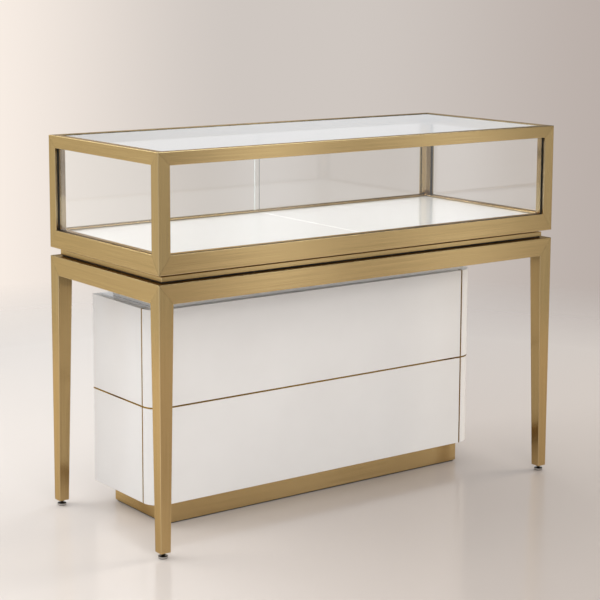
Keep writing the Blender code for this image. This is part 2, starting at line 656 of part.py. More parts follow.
def drawers(lacquer, ply, gold, steel):
    wide = CABINET_SIDE - BOARD_T - DRAWER_GAP
    for level, lowest in drawer_levels():
        low = (-wide, FRONT_IN, lowest)
        high = (wide, CABINET_REAR, lowest + FRONT_H)
        front = add(f"drawer_front_{level}", block(low, high, DECK_EDGE), lacquer)
        box = drawer_box(f"drawer_box_{level}", lowest, ply)
        pieces = [front, box, drawer_pull(f"drawer_pull_{level}", lowest, gold)]
        if level == "upper":
            axis = lock_axis()
            bore = loft([[axis + Vector((x, y, z)) for x, z in lock_round(LOCK_D / 2 + LOCK_PLAY)]
                         for y in (DRAWER_FRONT_T, -2 * DRAWER_FRONT_T)])
            cutter = hidden_tool("lock_bore", bore)
            combine(front, cutter, "DIFFERENCE")
            pieces.append(gather("lock_turn", [drawer_lock(steel)], axis))
        gather(f"drawer_slide_{level}", pieces, (0, CABINET_REAR, runner_z(lowest)))


def build():
    clear_scene()
    gold = finish("brushed_gold", (0.45, 0.31, 0.14), 0.32, metallic=1.0)
    lacquer = finish("white_lacquer", (0.80, 0.78, 0.75), 0.28)
    deck_white = finish("gloss_white", (0.88, 0.87, 0.85), 0.10)
    glass = finish("clear_glass", (0.93, 0.97, 0.95), 0.02, transmission=1.0)
    rubber = finish("black_rubber", (0.012, 0.012, 0.012), 0.6)
    steel = finish("bright_steel", (0.62, 0.60, 0.57), 0.22, metallic=1.0)
    ply = finish("drawer_board", (0.72, 0.69, 0.64), 0.5)
    case_frame(gold)
    case_glass(glass, rubber)
    deck(deck_white)
    door_tracks(gold)
    glass_doors(glass)
    band(gold, rubber)
    table(gold, steel)
    cabinet_shell(lacquer, gold)
    cabinet_boards(lacquer, gold)
    drawers(lacquer, ply, gold, steel)


build()
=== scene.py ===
# Jewelry showcase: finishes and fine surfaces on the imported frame, in metres
import json
import math

import bmesh
import bpy
import numpy as np
from mathutils import Matrix, Vector


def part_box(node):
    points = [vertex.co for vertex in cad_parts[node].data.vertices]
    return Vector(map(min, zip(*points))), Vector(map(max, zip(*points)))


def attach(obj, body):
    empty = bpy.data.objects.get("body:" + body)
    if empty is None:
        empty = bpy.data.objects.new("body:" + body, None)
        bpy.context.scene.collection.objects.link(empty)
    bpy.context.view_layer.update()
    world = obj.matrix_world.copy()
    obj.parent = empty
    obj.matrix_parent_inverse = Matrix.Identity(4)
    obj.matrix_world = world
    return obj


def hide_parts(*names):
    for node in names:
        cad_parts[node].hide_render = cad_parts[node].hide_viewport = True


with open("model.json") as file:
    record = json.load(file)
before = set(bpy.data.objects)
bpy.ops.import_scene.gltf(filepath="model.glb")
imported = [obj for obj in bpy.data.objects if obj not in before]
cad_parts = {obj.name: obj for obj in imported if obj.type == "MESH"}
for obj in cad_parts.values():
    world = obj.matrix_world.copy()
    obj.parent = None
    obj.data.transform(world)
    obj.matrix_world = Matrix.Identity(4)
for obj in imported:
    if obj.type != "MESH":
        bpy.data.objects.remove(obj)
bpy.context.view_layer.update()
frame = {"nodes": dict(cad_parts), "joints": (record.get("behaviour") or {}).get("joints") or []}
nodes = frame["nodes"]
fit = 0.0003            # gap between pieces that touch
merge = 0.000002        # points closer than this are one
tiny = 1e-9             # keeps divisions away from zero
facing = 0.75           # how far along a direction a face's normal lies to count as facing it
square = 0.9999         # and to count as square to it
hands = ((-1, "left"), (1, "right"))
backs = ((-1, "front"), (1, "rear"))


def boxOf(node):
    low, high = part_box(node)
    return np.array(low), np.array(high)


# The frame's main planes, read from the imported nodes
postLow, postHigh = boxOf("case_post_front_left")
side, face = -postLow[0], -postLow[1]
postW = postHigh[0] - postLow[0]
topRailLow, caseTop = (end[2] for end in boxOf("case_top_rail_front"))
baseRailLow, baseRailHigh = boxOf("case_base_rail_front")
caseLow = baseRailLow[2]
tableRailLow, tableRailHigh = boxOf("table_rail_front")
legLow, legHigh = boxOf("table_leg_front_left")
cabinetLow, cabinetHigh = boxOf("cabinet_front")
print("frame loaded:", len(nodes), "nodes")


# Outlines and surfaces

def unit(v):
    return v / np.linalg.norm(v)


def rectangle(low, high):
    # a box's corners in its first two directions, from the low one round to the left
    return np.array([(low[0], low[1]), (high[0], low[1]), (high[0], high[1]), (low[0], high[1])])


def roundedOutline(corners, steps=4, guard=0.0004):
    # each corner (u, v, r): centre + r (cos a, sin a) between its two tangent points,
    # with a guard point beside each
    flat = np.array([c[:2] for c in corners], float)
    points, wearAndHighlight = [], []
    for i, (*_, r) in enumerate(corners):
        corner = flat[i]
        if r <= 0:
            points.append(corner[None])
            wearAndHighlight.append([0.0])
            continue
        back, onward = unit(flat[i - 1] - corner), unit(flat[(i + 1) % len(flat)] - corner)
        half = math.acos(np.clip(back @ onward, -1, 1)) / 2
        centre = corner + unit(back + onward) * r / math.sin(half)
        first = corner + back * r / math.tan(half)
        last = corner + onward * r / math.tan(half)
        a0, a1 = (math.atan2(*(p - centre)[::-1]) for p in (first, last))
        turn = (a1 - a0 + math.pi) % math.tau - math.pi
        a = a0 + turn * np.linspace(0, 1, steps + 1)
        arc = centre + r * np.column_stack([np.cos(a), np.sin(a)])
        points.append(np.vstack([first + back * guard, arc, last + onward * guard]))
        # arc points are marked for the paler edge: wear and painted highlight
        wearAndHighlight.append([0.0] + [1.0] * len(arc) + [0.0])
    return np.vstack(points), np.concatenate(wearAndHighlight)


def insetOutline(outline, depth, least=0.3):
    # each point moves in along the mean of its two edge normals, far enough to keep the edges parallel;
    # least: holds back the move at sharp corners
    ahead = np.roll(outline, -1, 0) - outline
    ahead /= np.linalg.norm(ahead, axis=1, keepdims=True)
    behind = np.roll(ahead, 1, 0)
    x, y = outline.T
    turn = np.sign(np.sum(x * np.roll(y, -1) - y * np.roll(x, -1)))
    normal = turn * np.column_stack([-ahead[:, 1], ahead[:, 0]])
    before = turn * np.column_stack([-behind[:, 1], behind[:, 0]])
    share = 1 + np.sum(normal * before, axis=1, keepdims=True)
    return outline + depth * (normal + before) / np.maximum(share, least)


def runLength(points, closed=True):
    # distance along a line of points, from its first point
    steps = np.diff(np.vstack([points, points[:1]]) if closed else points, axis=0)
    return np.concatenate([[0.0], np.cumsum(np.linalg.norm(steps, axis=1))])


def gridMesh(name, points, grain, caps=(), wearAndHighlight=None, loop=False, capMap=None):
    # points[i, j] is ring i, place j: quads join neighbouring rings, and caps are rows of point numbers.
    # grain = (along, across), each (rings, places + 1), is the surface's own map in metres
    rings, places = points.shape[:2]
    i = np.arange(rings if loop else rings - 1)[:, None]
    j = np.arange(places)[None, :]
    k, n = (j + 1) % places, (i + 1) % rings
    quads = np.stack([i * places + j, i * places + k, n * places + k, n * places + j], -1).reshape(-1, 4)
    mesh = bpy.data.meshes.new(name)
    mesh.from_pydata(points.reshape(-1, 3).tolist(), [], quads.tolist() + [list(c) for c in caps])
    along, across = (np.broadcast_to(g, (rings, places + 1)) for g in grain)
    pair = np.stack([along, across], -1)
    quadMap = np.stack([pair[i, j], pair[i, j + 1], pair[n, j + 1], pair[n, j]], -2).reshape(-1, 2)
    flatMap = pair[:, :-1].reshape(-1, 2) if capMap is None else np.tile(capMap, (rings, 1))
    loops = np.vstack([quadMap] + [flatMap[list(c)] for c in caps])
    mesh.uv_layers.new(name="grain").data.foreach_set("uv", loops.astype(np.float32).ravel())
    value = np.zeros((rings, places)) if wearAndHighlight is None else np.broadcast_to(wearAndHighlight, (rings, places))
    # rounded edges are marked 1: the finishes paint them paler, partly wear and partly painted highlight
    wornAndHighlight = mesh.attributes.new("edgeWear", "FLOAT", "POINT")
    wornAndHighlight.data.foreach_set("value", value.astype(np.float32).ravel())
    return mesh


def endCaps(rings, count):
    # the point numbers of the first and the last ring
    return range(count), range((rings - 1) * count, rings * count)


def closeMesh(mesh, smooth=32):
    # merges doubled points, turns the faces outwards, keeps creases sharper than the angle, and end caps flat
    bm = bmesh.new()
    bm.from_mesh(mesh)
    bmesh.ops.remove_doubles(bm, verts=bm.verts, dist=merge)
    bmesh.ops.recalc_face_normals(bm, faces=bm.faces)
    inside = bm.calc_volume(signed=True) < 0
    bm.to_mesh(mesh)
    bm.free()
    if inside:
        mesh.flip_normals()
    mesh.shade_smooth()
    mesh.set_sharp_from_angle(angle=math.radians(smooth))
    sides = np.zeros(len(mesh.polygons), np.int32)
    mesh.polygons.foreach_get("loop_total", sides)
    mesh.polygons.foreach_set("use_smooth", sides <= 4)
    return mesh


def rimRings(ends, rim, steps, guard=0.0004):
    # rounded rims between two ends: inset r (1 - sin a), depth r (1 - cos a), with a guard ring beside each
    a = np.linspace(0, math.pi / 2, steps + 1)
    inset, rise = rim * (1 - np.sin(a)), rim * (1 - np.cos(a))
    inset, rise = np.append(inset, 0.0), np.append(rise, rim + guard)
    return np.concatenate([inset, inset[::-1]]), np.concatenate([ends[0] + rise, ends[1] - rise[::-1]])


def faceVectors(mesh, kind):
    # every face's "normal" or "center", as rows
    values = np.zeros(len(mesh.polygons) * 3)
    mesh.polygons.foreach_get(kind, values)
    return values.reshape(-1, 3)


def keepFlat(mesh, axis):
    # faces square to an axis are shaded flat
    tilt = np.abs(faceVectors(mesh, "normal")[:, axis])
    mesh.polygons.foreach_set("use_smooth", tilt < square)


def secondFinish(mesh, where):
    # the faces picked take the piece's second finish
    mesh.polygons.foreach_set("material_index", where.astype(np.int32))


def newObject(name, data):
    thing = bpy.data.objects.new(name, data)
    bpy.context.scene.collection.objects.link(thing)
    return thing


def addPiece(mesh, materials, body, replaced=()):
    piece = newObject(mesh.name, mesh)
    for material in materials:
        mesh.materials.append(material)
    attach(piece, body)
    if replaced:
        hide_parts(*replaced)
    return piece


def plate(name, outline, ends, rim, place, wearAndHighlight=None, steps=3, alongDepth=False):
    # an outline carried from ends[0] to ends[1], its rims rounded
    insets, depths = rimRings(ends, rim, steps)
    flat = np.stack([insetOutline(outline, d) for d in insets])
    w = np.broadcast_to(depths[:, None], flat.shape[:2])
    points = place(flat[..., 0], flat[..., 1], w)
    around, depth = runLength(outline), depths[:, None]
    grain = (depth, around) if alongDepth else (around, depth)
    rounding = np.where((insets > 0)[:, None], 1.0, 0.0 if wearAndHighlight is None else wearAndHighlight[None, :])
    caps = endCaps(len(depths), len(outline))
    return closeMesh(gridMesh(name, points, grain, caps, rounding, capMap=flat[0]))


def slab(name, low, high, rim, axis=2, steps=3):
    # a board: a rectangle with rounded corners, carried along an axis with rounded rims
    a, b = (k for k in range(3) if k != axis)
    corners = rectangle((low[a], low[b]), (high[a], high[b]))
    outline, wearAndHighlight = roundedOutline([(*corner, rim) for corner in corners], steps)
    order = np.argsort((a, b, axis))
    return plate(name, outline, (low[axis], high[axis]), rim,
                 lambda *uvw: np.stack([uvw[k] for k in order], -1), wearAndHighlight, steps)


# Finishes

def shaderNode(tree, kind, inputs=None, **settings):
    node = tree.nodes.new(kind)
    for key, value in settings.items():
        setattr(node, key, value)
    for key, value in (inputs or {}).items():
        if isinstance(value, bpy.types.NodeSocket):
            tree.links.new(value, node.inputs[key])
        else:
            node.inputs[key].default_value = value
    return node


def newFinish(name, sockets):
    material = bpy.data.materials.new(name)
    material.use_nodes = True
    shader = material.node_tree.nodes["Principled BSDF"]
    for key, value in sockets.items():
        shader.inputs[key].default_value = value
    return material, material.node_tree, shader


def stretched(tree, vector, scale, detail, rough=0.55):
    # noise read through a stretched map, in cycles per metre
    mapped = shaderNode(tree, "ShaderNodeMapping", {"Vector": vector, "Scale": scale})
    noise = {"Vector": mapped.outputs["Vector"], "Scale": 1.0, "Detail": detail, "Roughness": rough}
    return shaderNode(tree, "ShaderNodeTexNoise", noise).outputs["Fac"]


def between(tree, factor, low, high, start=0.25, end=0.75, step="LINEAR"):
    # maps a noise value from start..end to low..high
    spans = {"Value": factor, "From Min": start, "From Max": end, "To Min": low, "To Max": high}
    return shaderNode(tree, "ShaderNodeMapRange", spans, interpolation_type=step).outputs["Result"]


def maths(tree, operation, *values):
    return shaderNode(tree, "ShaderNodeMath", dict(enumerate(values)), operation=operation).outputs[0]


def colourMix(tree, factor, first, second):
    mix = shaderNode(tree, "ShaderNodeMix", {"Factor": factor}, data_type="RGBA", clamp_factor=False)
    for index, colour in ((6, first), (7, second)):
        if isinstance(colour, bpy.types.NodeSocket):
            tree.links.new(colour, mix.inputs[index])
        else:
            mix.inputs[index].default_value = (*colour, 1.0)
    return mix.outputs[2]


def bump(tree, height, strength, distance):
    relief = {"Height": height, "Strength": strength, "Distance": distance}
    return shaderNode(tree, "ShaderNodeBump", relief).outputs["Normal"]


def objectPlace(tree):
    return shaderNode(tree, "ShaderNodeTexCoord").outputs["Object"]


def plug(tree, shader, colour, rough, relief):
    for key, value in (("Base Color", colour), ("Roughness", rough), ("Normal", relief)):
        tree.links.new(value, shader.inputs[key])


goldLook = {"fine": (14.0, 2600.0, 1.0), "streak": (2.6, 430.0, 1.0), "detail": (3.0, 2.0),
            "rough": (0.20, 0.25), "stretch": 0.95, "turn": 0.25, "toneSpan": (0.8, 1.2),
            "patchy": (0.25, 0.75), "bump": (0.12, 0.00004), "grazing": (0.52, 0.44, 0.33, 1.0)}
# each gold's dark grain, light grain and worn edge; the edge's paler tone is partly wear, partly painted
# highlight
goldTones = {"bar": ((0.535, 0.375, 0.169), (0.645, 0.462, 0.217), (0.80, 0.65, 0.40)),
             # the second gold is darker: it paints shade on the legs' inward faces
             "inner": ((0.41, 0.287, 0.129), (0.497, 0.356, 0.167), (0.66, 0.53, 0.33)),
             # the third gold is darker: it paints shade on faces that look into the case and on the door
             # tracks
             "lining": ((0.34, 0.262, 0.146), (0.42, 0.327, 0.186), (0.58, 0.48, 0.33)),
             "inlay": ((0.30, 0.172, 0.028), (0.40, 0.24, 0.046), (0.52, 0.36, 0.12))}


def brushedGold(kind):
    # brushed along the map's first direction: fine scratches over wider streaks, edges painted paler, partly
    # as wear and partly as painted highlight
    material, tree, shader = newFinish(kind + "Gold", {"Metallic": 1.0, "Anisotropic": goldLook["stretch"],
                                                       "Anisotropic Rotation": goldLook["turn"],
                                                       "Specular Tint": goldLook["grazing"]})
    dark, light, wornAndHighlight = goldTones[kind]
    grain = shaderNode(tree, "ShaderNodeUVMap", uv_map="grain").outputs["UV"]
    fine = stretched(tree, grain, goldLook["fine"], goldLook["detail"][0])
    streak = stretched(tree, grain, goldLook["streak"], goldLook["detail"][1])
    tone = between(tree, maths(tree, "ADD", fine, streak), 0.0, 1.0, *goldLook["toneSpan"])
    colour = colourMix(tree, tone, dark, light)
    edge = shaderNode(tree, "ShaderNodeAttribute", attribute_name="edgeWear").outputs["Fac"]
    patchy = between(tree, streak, *goldLook["patchy"])
    wearAndHighlight = maths(tree, "MULTIPLY", edge, patchy)
    plug(tree, shader, colourMix(tree, wearAndHighlight, colour, wornAndHighlight), between(tree, fine, *goldLook["rough"]),
         bump(tree, fine, *goldLook["bump"]))
    tangent = shaderNode(tree, "ShaderNodeTangent", direction_type="UV_MAP", uv_map="grain")
    tree.links.new(tangent.outputs["Tangent"], shader.inputs["Tangent"])
    return material


# satin stays rougher than 0.28, below which the denoiser takes it for gloss and leaves marks
lacquerLook = {"satin": {"dark": (0.775, 0.765, 0.757), "light": (0.815, 0.807, 0.80),
                         "rough": (0.285, 0.345), "coat": 0.25, "coatRough": 0.16, "bump": (0.10, 0.00003)},
               "gloss": {"dark": (0.878, 0.888, 0.904), "light": (0.898, 0.908, 0.922),
                         "rough": (0.10, 0.14), "coat": 0.6, "coatRough": 0.05, "bump": (0.04, 0.00003)}}
sprayLook = {"cloud": (5.0,) * 3, "peel": (420.0,) * 3, "detail": (3.0, 1.0), "rub": 0.35,
             "rubbed": (0.88, 0.87, 0.86)}


def lacquer(kind):
    # sprayed white: slow cloudy tone and a faint orange peel, edges painted paler, partly rubbed and partly a
    # painted highlight
    look = lacquerLook[kind]
    material, tree, shader = newFinish(kind + "Lacquer", {"Coat Weight": look["coat"],
                                                          "Coat Roughness": look["coatRough"]})
    place = objectPlace(tree)
    cloud = stretched(tree, place, sprayLook["cloud"], sprayLook["detail"][0])
    peel = stretched(tree, place, sprayLook["peel"], sprayLook["detail"][1])
    colour = colourMix(tree, between(tree, cloud, 0.0, 1.0), look["dark"], look["light"])
    edge = shaderNode(tree, "ShaderNodeAttribute", attribute_name="edgeWear").outputs["Fac"]
    rub = maths(tree, "MULTIPLY", edge, sprayLook["rub"])
    plug(tree, shader, colourMix(tree, rub, colour, sprayLook["rubbed"]),
         between(tree, cloud, *look["rough"]), bump(tree, peel, *look["bump"]))
    return material


# dim paints shade on the left door's meeting edge; the last kind paints a highlight on the right door's
glassLook = {"clear": {"colour": (0.985, 0.992, 0.987), "rough": 0.0, "through": 1.0, "dust": 60.0},
             "edge": {"colour": (0.26, 0.34, 0.31), "rough": 0.12, "through": 0.3, "dust": 1900.0},
             "dim": {"colour": (0.045, 0.065, 0.058), "rough": 0.16, "through": 0.1, "dust": 1900.0},
             "polished": {"colour": (0.93, 0.97, 0.955), "rough": 0.10, "through": 0.1, "dust": 1900.0}}
dustLook = {"detail": 4.0, "span": (0.55, 0.8), "rougher": 0.02, "bump": (0.25, 0.00005), "ior": 1.5,
            "shadow": (0.95, 0.96, 0.955, 1.0)}


def glass(kind):
    # clear to lamps, with faint dust that dulls it here and there; the ground edges are greener, and the
    # doors' edges are painted darker and paler as shade and highlight
    look = glassLook[kind]
    material, tree, shader = newFinish(kind + "Glass", {"Base Color": (*look["colour"], 1.0),
                                                        "IOR": dustLook["ior"],
                                                        "Transmission Weight": look["through"]})
    place = objectPlace(tree)
    dust = stretched(tree, place, (look["dust"],) * 3, dustLook["detail"])
    dull = between(tree, dust, look["rough"], look["rough"] + dustLook["rougher"], *dustLook["span"])
    tree.links.new(dull, shader.inputs["Roughness"])
    if kind != "clear":
        tree.links.new(bump(tree, dust, *dustLook["bump"]), shader.inputs["Normal"])
    path = shaderNode(tree, "ShaderNodeLightPath")
    through = shaderNode(tree, "ShaderNodeBsdfTransparent", {"Color": dustLook["shadow"]})
    mix = shaderNode(tree, "ShaderNodeMixShader", {0: path.outputs["Is Shadow Ray"],
                                                   1: shader.outputs["BSDF"], 2: through.outputs["BSDF"]})
    tree.links.new(mix.outputs["Shader"], tree.nodes["Material Output"].inputs["Surface"])
    return material


rubberLook = {"sheen": 0.08, "sheenRough": 0.5, "bloom": (90.0,) * 3, "skin": (2200.0,) * 3,
              "detail": (3.0, 2.0), "dark": (0.006, 0.006, 0.006), "light": (0.020, 0.019, 0.018),
              "rough": (0.45, 0.65), "bump": (0.3, 0.00005)}


def blackRubber():
    # a matt skin with a faint grey bloom
    material, tree, shader = newFinish("blackRubber", {"Sheen Weight": rubberLook["sheen"],
                                                       "Sheen Roughness": rubberLook["sheenRough"]})
    place = objectPlace(tree)
    bloom = stretched(tree, place, rubberLook["bloom"], rubberLook["detail"][0])
    skin = stretched(tree, place, rubberLook["skin"], rubberLook["detail"][1])
    colour = colourMix(tree, between(tree, bloom, 0.0, 1.0), rubberLook["dark"], rubberLook["light"])
    plug(tree, shader, colour, between(tree, bloom, *rubberLook["rough"]),
         bump(tree, skin, *rubberLook["bump"]))
    return material


steelLook = {"bright": ((0.46, 0.445, 0.42), (0.62, 0.605, 0.58)),
             "dark": ((0.05, 0.048, 0.045), (0.11, 0.106, 0.10)), "rings": (30.0, 2600.0, 1.0),
             "haze": (140.0, 140.0, 1.0), "detail": (2.0, 3.0), "rough": (0.14, 0.28), "bump": (0.1, 0.00003)}


def turnedSteel(kind):
    # nickel plate, or dark steel that paints shade on the feet's studs and nuts; turned: fine rings across
    # the map's second direction
    material, tree, shader = newFinish(kind + "Steel", {"Metallic": 1.0})
    grain = shaderNode(tree, "ShaderNodeUVMap", uv_map="grain").outputs["UV"]
    rings = stretched(tree, grain, steelLook["rings"], steelLook["detail"][0])
    haze = stretched(tree, grain, steelLook["haze"], steelLook["detail"][1])
    colour = colourMix(tree, between(tree, haze, 0.0, 1.0), *steelLook[kind])
    plug(tree, shader, colour, between(tree, rings, *steelLook["rough"]),
         bump(tree, rings, *steelLook["bump"]))
    return material


melamineLook = {"warp": (1300.0, 60.0, 60.0), "weft": (60.0, 1300.0, 1300.0), "detail": 2.0,
                "span": (0.12, 0.4), "dark": (0.64, 0.61, 0.56), "light": (0.76, 0.73, 0.68),
                "rough": (0.42, 0.58), "specular": 0.4, "bump": (0.15, 0.00006)}


def drawerBoard():
    # pale melamine: an embossed linen weave on a warm white
    look = melamineLook
    material, tree, shader = newFinish("drawerBoard", {"Specular IOR Level": look["specular"]})
    place = objectPlace(tree)
    warp, weft = (stretched(tree, place, look[way], look["detail"]) for way in ("warp", "weft"))
    weave = maths(tree, "MULTIPLY", warp, weft)
    colour = colourMix(tree, between(tree, weave, 0.0, 1.0, *look["span"]), look["dark"], look["light"])
    plug(tree, shader, colour, between(tree, weave, *look["rough"], *look["span"]),
         bump(tree, weave, *look["bump"]))
    return material


def refinish(node, material):
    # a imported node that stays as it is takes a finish
    nodes[node].data.materials.clear()
    nodes[node].data.materials.append(material)


gold, underTableShadeGold, insideShadeGold, inlayGold = (brushedGold(kind) for kind in goldTones)
satinWhite, glossWhite = (lacquer(kind) for kind in lacquerLook)
clearGlass, glassEdge, shadeDoorEdge, highlightDoorEdge = (glass(kind) for kind in glassLook)
rubber, melamine = blackRubber(), drawerBoard()
steel, shadeDarkSteel = turnedSteel("bright"), turnedSteel("dark")
print("finishes made")


# Mitred bars of the case and the table

barLook = {"edge": 0.0012, "ease": 0.00015, "ledge": 0.010, "doorPlay": 0.0007, "footBore": 0.0044,
           "grainStep": 3.1}     # grainStep: each bar has its own stretch of the grain
goldBars = []


def cornerShare(flat, sizes):
    # a bar's end surface at a corner block: t = a max(p / b, q / c), moved in by half the fit
    a, b, c = sizes
    p, q = flat[..., 0], flat[..., 1]
    gapP, gapQ = (fit / 2 * math.hypot(1 / a, 1 / s) for s in (b, c))
    return a * np.maximum(p / b + gapP, q / c + gapQ)


def withCrossings(outline, wearAndHighlight, across):
    # adds the two points where the outline crosses the corner block's diagonal, and returns their numbers
    share = outline[:, 0] / across[0] - outline[:, 1] / across[1]
    ahead = np.roll(share, -1)
    cut = np.flatnonzero(share * ahead < 0)
    part = (share[cut] / (share[cut] - ahead[cut]))[:, None]
    added = outline[cut] * (1 - part) + np.roll(outline, -1, 0)[cut] * part
    outline = np.insert(outline, cut + 1, added, axis=0)
    wearAndHighlight = np.insert(wearAndHighlight, cut + 1, 1.0)
    share = outline[:, 0] / across[0] - outline[:, 1] / across[1]
    return outline, wearAndHighlight, np.flatnonzero(np.abs(share) < tiny)


def capHalves(count, crossings):
    # an end's two faces: the outline's points on either side of the diagonal
    one, two = crossings[:2]
    return np.arange(one, two + 1), np.concatenate([np.arange(two, count), np.arange(0, one + 1)])


def mitredBar(name, profile, length, startSizes, endSizes, place, node, shadeFacing=()):
    # a profile (p, q) carried along t from one corner surface to the other, its end arrises eased;
    # the last argument gives the directions whose faces look into the case; those faces take a darker gold,
    # painted shade
    outline, wearAndHighlight, crossings = withCrossings(*profile, startSizes[1:])
    inner = insetOutline(outline, barLook["ease"])
    near, far = cornerShare(outline, startSizes), cornerShare(outline, endSizes)
    t = np.stack([cornerShare(inner, startSizes), near + barLook["ease"], length - far - barLook["ease"],
                  length - cornerShare(inner, endSizes)])
    flat = np.stack([inner, outline, outline, inner])
    around = runLength(outline)
    along = np.hstack([t, t[:, :1]]) + len(goldBars) * barLook["grainStep"]
    count = len(outline)
    caps = [half + ring * count for ring in (0, len(flat) - 1) for half in capHalves(count, crossings)]
    edges = np.stack([0 * wearAndHighlight, wearAndHighlight, wearAndHighlight, 0 * wearAndHighlight])
    mesh = gridMesh(name, place(t, flat[..., 0], flat[..., 1]), (along, around), caps, edges)
    goldBars.append(addPiece(closeMesh(mesh), [gold, insideShadeGold], "showcase", [node]))
    if shadeFacing:
        secondFinish(mesh, np.max(faceVectors(mesh, "normal") @ np.array(shadeFacing, float).T, axis=1) > facing)


def caseBars():
    # profiles run (p, q) inwards from a bar's outer corner: top rails have a rebate for the pane, base rails
    # a ledge for the deck, and each bar a groove for the glass or the door track;
    # the rebate's edges are a third as round as the bar's
    edge, ledge = barLook["edge"], barLook["ledge"]
    topH, baseH = caseTop - topRailLow, baseRailHigh[2] - baseRailLow[2]
    topSizes, baseSizes = (postW, postW, topH), (postW, postW, baseH)
    gasketLow, gasketHigh = boxOf("front_gasket")
    setIn, setOut = gasketLow[1] + face - fit, gasketHigh[1] + face + fit
    deep = gasketHigh[0] - (side - postW) + fit
    glassLow, glassHigh = boxOf("top_glass")
    rebateP, rebateQ = side - glassHigh[0] - fit, caseTop - glassLow[2] + fit
    ledgeTop = boxOf("deck_panel_left")[0][2] - fit - caseLow
    ledgeOut = baseRailHigh[1] + face

    def topProfile(start, end, depth):
        return roundedOutline([(0, 0, edge), (rebateP, 0, edge / 3), (rebateP, rebateQ, 0),
                               (postW, rebateQ, edge / 3), (postW, topH, edge), (end, topH, 0),
                               (end, topH - depth, 0), (start, topH - depth, 0), (start, topH, 0),
                               (0, topH, edge)])

    def baseProfile(start, end, depth):
        return roundedOutline([(0, 0, edge), (postW, 0, edge), (postW, ledgeTop - ledge, 0),
                               (ledgeOut, ledgeTop - ledge, 0), (ledgeOut, ledgeTop, 0), (postW, ledgeTop, 0),
                               (postW, baseH, edge), (end, baseH, 0), (end, baseH - depth, 0),
                               (start, baseH - depth, 0), (start, baseH, 0), (0, baseH, edge)])

    def postProfile(start, end):
        bottom = postW - deep
        return roundedOutline([(0, 0, edge), (postW, 0, edge), (postW, start, 0), (bottom, start, 0),
                               (bottom, end, 0), (postW, end, 0), (postW, postW, edge), (setOut, postW, 0),
                               (setOut, bottom, 0), (setIn, bottom, 0), (setIn, postW, 0), (0, postW, edge)])

    def trackSlot(node):
        low, high = boxOf(node)
        return face - high[1] - fit, face - low[1] + fit, high[2] - low[2] + fit

    groove = (setIn, setOut, deep)
    levels = (("top", topProfile, topSizes, caseTop, -1), ("base", baseProfile, baseSizes, caseLow, 1))
    for back, end in backs:
        for part, shape, sizes, level, up in levels:
            slot = groove if back < 0 else trackSlot("door_track_upper" if up < 0 else "door_track_lower")
            mitredBar(f"brushed_{part}_rail_{end}", shape(*slot), 2 * side, sizes, sizes,
                      lambda t, p, q: np.stack([t - side, back * (face - p), level + up * q], -1),
                      f"case_{part}_rail_{end}", [(0, -back, 0)])
    for hand, end in hands:
        for part, shape, sizes, level, up in levels:
            mitredBar(f"brushed_{part}_rail_{end}", shape(*groove), 2 * face, sizes, sizes,
                      lambda t, p, q: np.stack([hand * (side - p), t - face, level + up * q], -1),
                      f"case_{part}_rail_{end}", [(-hand, 0, 0)])
    for back, end in backs:
        for hand, which in hands:
            start, stop = setIn, setOut
            if back > 0:
                low, high = boxOf(f"glass_door_{which}")
                start, stop = face - high[1] - barLook["doorPlay"], face - low[1] + barLook["doorPlay"]
            mitredBar(f"brushed_post_{end}_{which}", postProfile(start, stop), caseTop - caseLow,
                      (baseH, postW, postW), (topH, postW, postW),
                      lambda t, p, q: np.stack([hand * (side - p), back * (face - q), caseLow + t], -1),
                      f"case_post_{end}_{which}", [(-hand, 0, 0), (0, -back, 0)])


def tableBars():
    # four rails that meet the legs in the same three-way mitres
    edge, legW = barLook["edge"], legHigh[0] - legLow[0]
    railTop, railH = tableRailHigh[2], tableRailHigh[2] - tableRailLow[2]
    sizes = (legW, legW, railH)

    def barProfile(width, height):
        return roundedOutline([(0, 0, edge), (width, 0, edge), (width, height, edge), (0, height, edge)])

    for back, end in backs:
        mitredBar(f"brushed_table_rail_{end}", barProfile(legW, railH), 2 * side, sizes, sizes,
                  lambda t, p, q: np.stack([t - side, back * (face - p), railTop - q], -1),
                  f"table_rail_{end}")
    for hand, end in hands:
        mitredBar(f"brushed_table_rail_{end}", barProfile(legW, railH), 2 * face, sizes, sizes,
                  lambda t, p, q: np.stack([hand * (side - p), t - face, railTop - q], -1),
                  f"table_rail_{end}")
    footAxis = {j["child"]: j["pos_m"] for j in frame["joints"] if j["child"].startswith("foot_")}
    for back, end in backs:
        for hand, which in hands:
            taperedLeg(end, which, hand, back, barProfile(legW, legW), legW, railTop, railH,
                       footAxis[f"foot_{end}_{which}"])


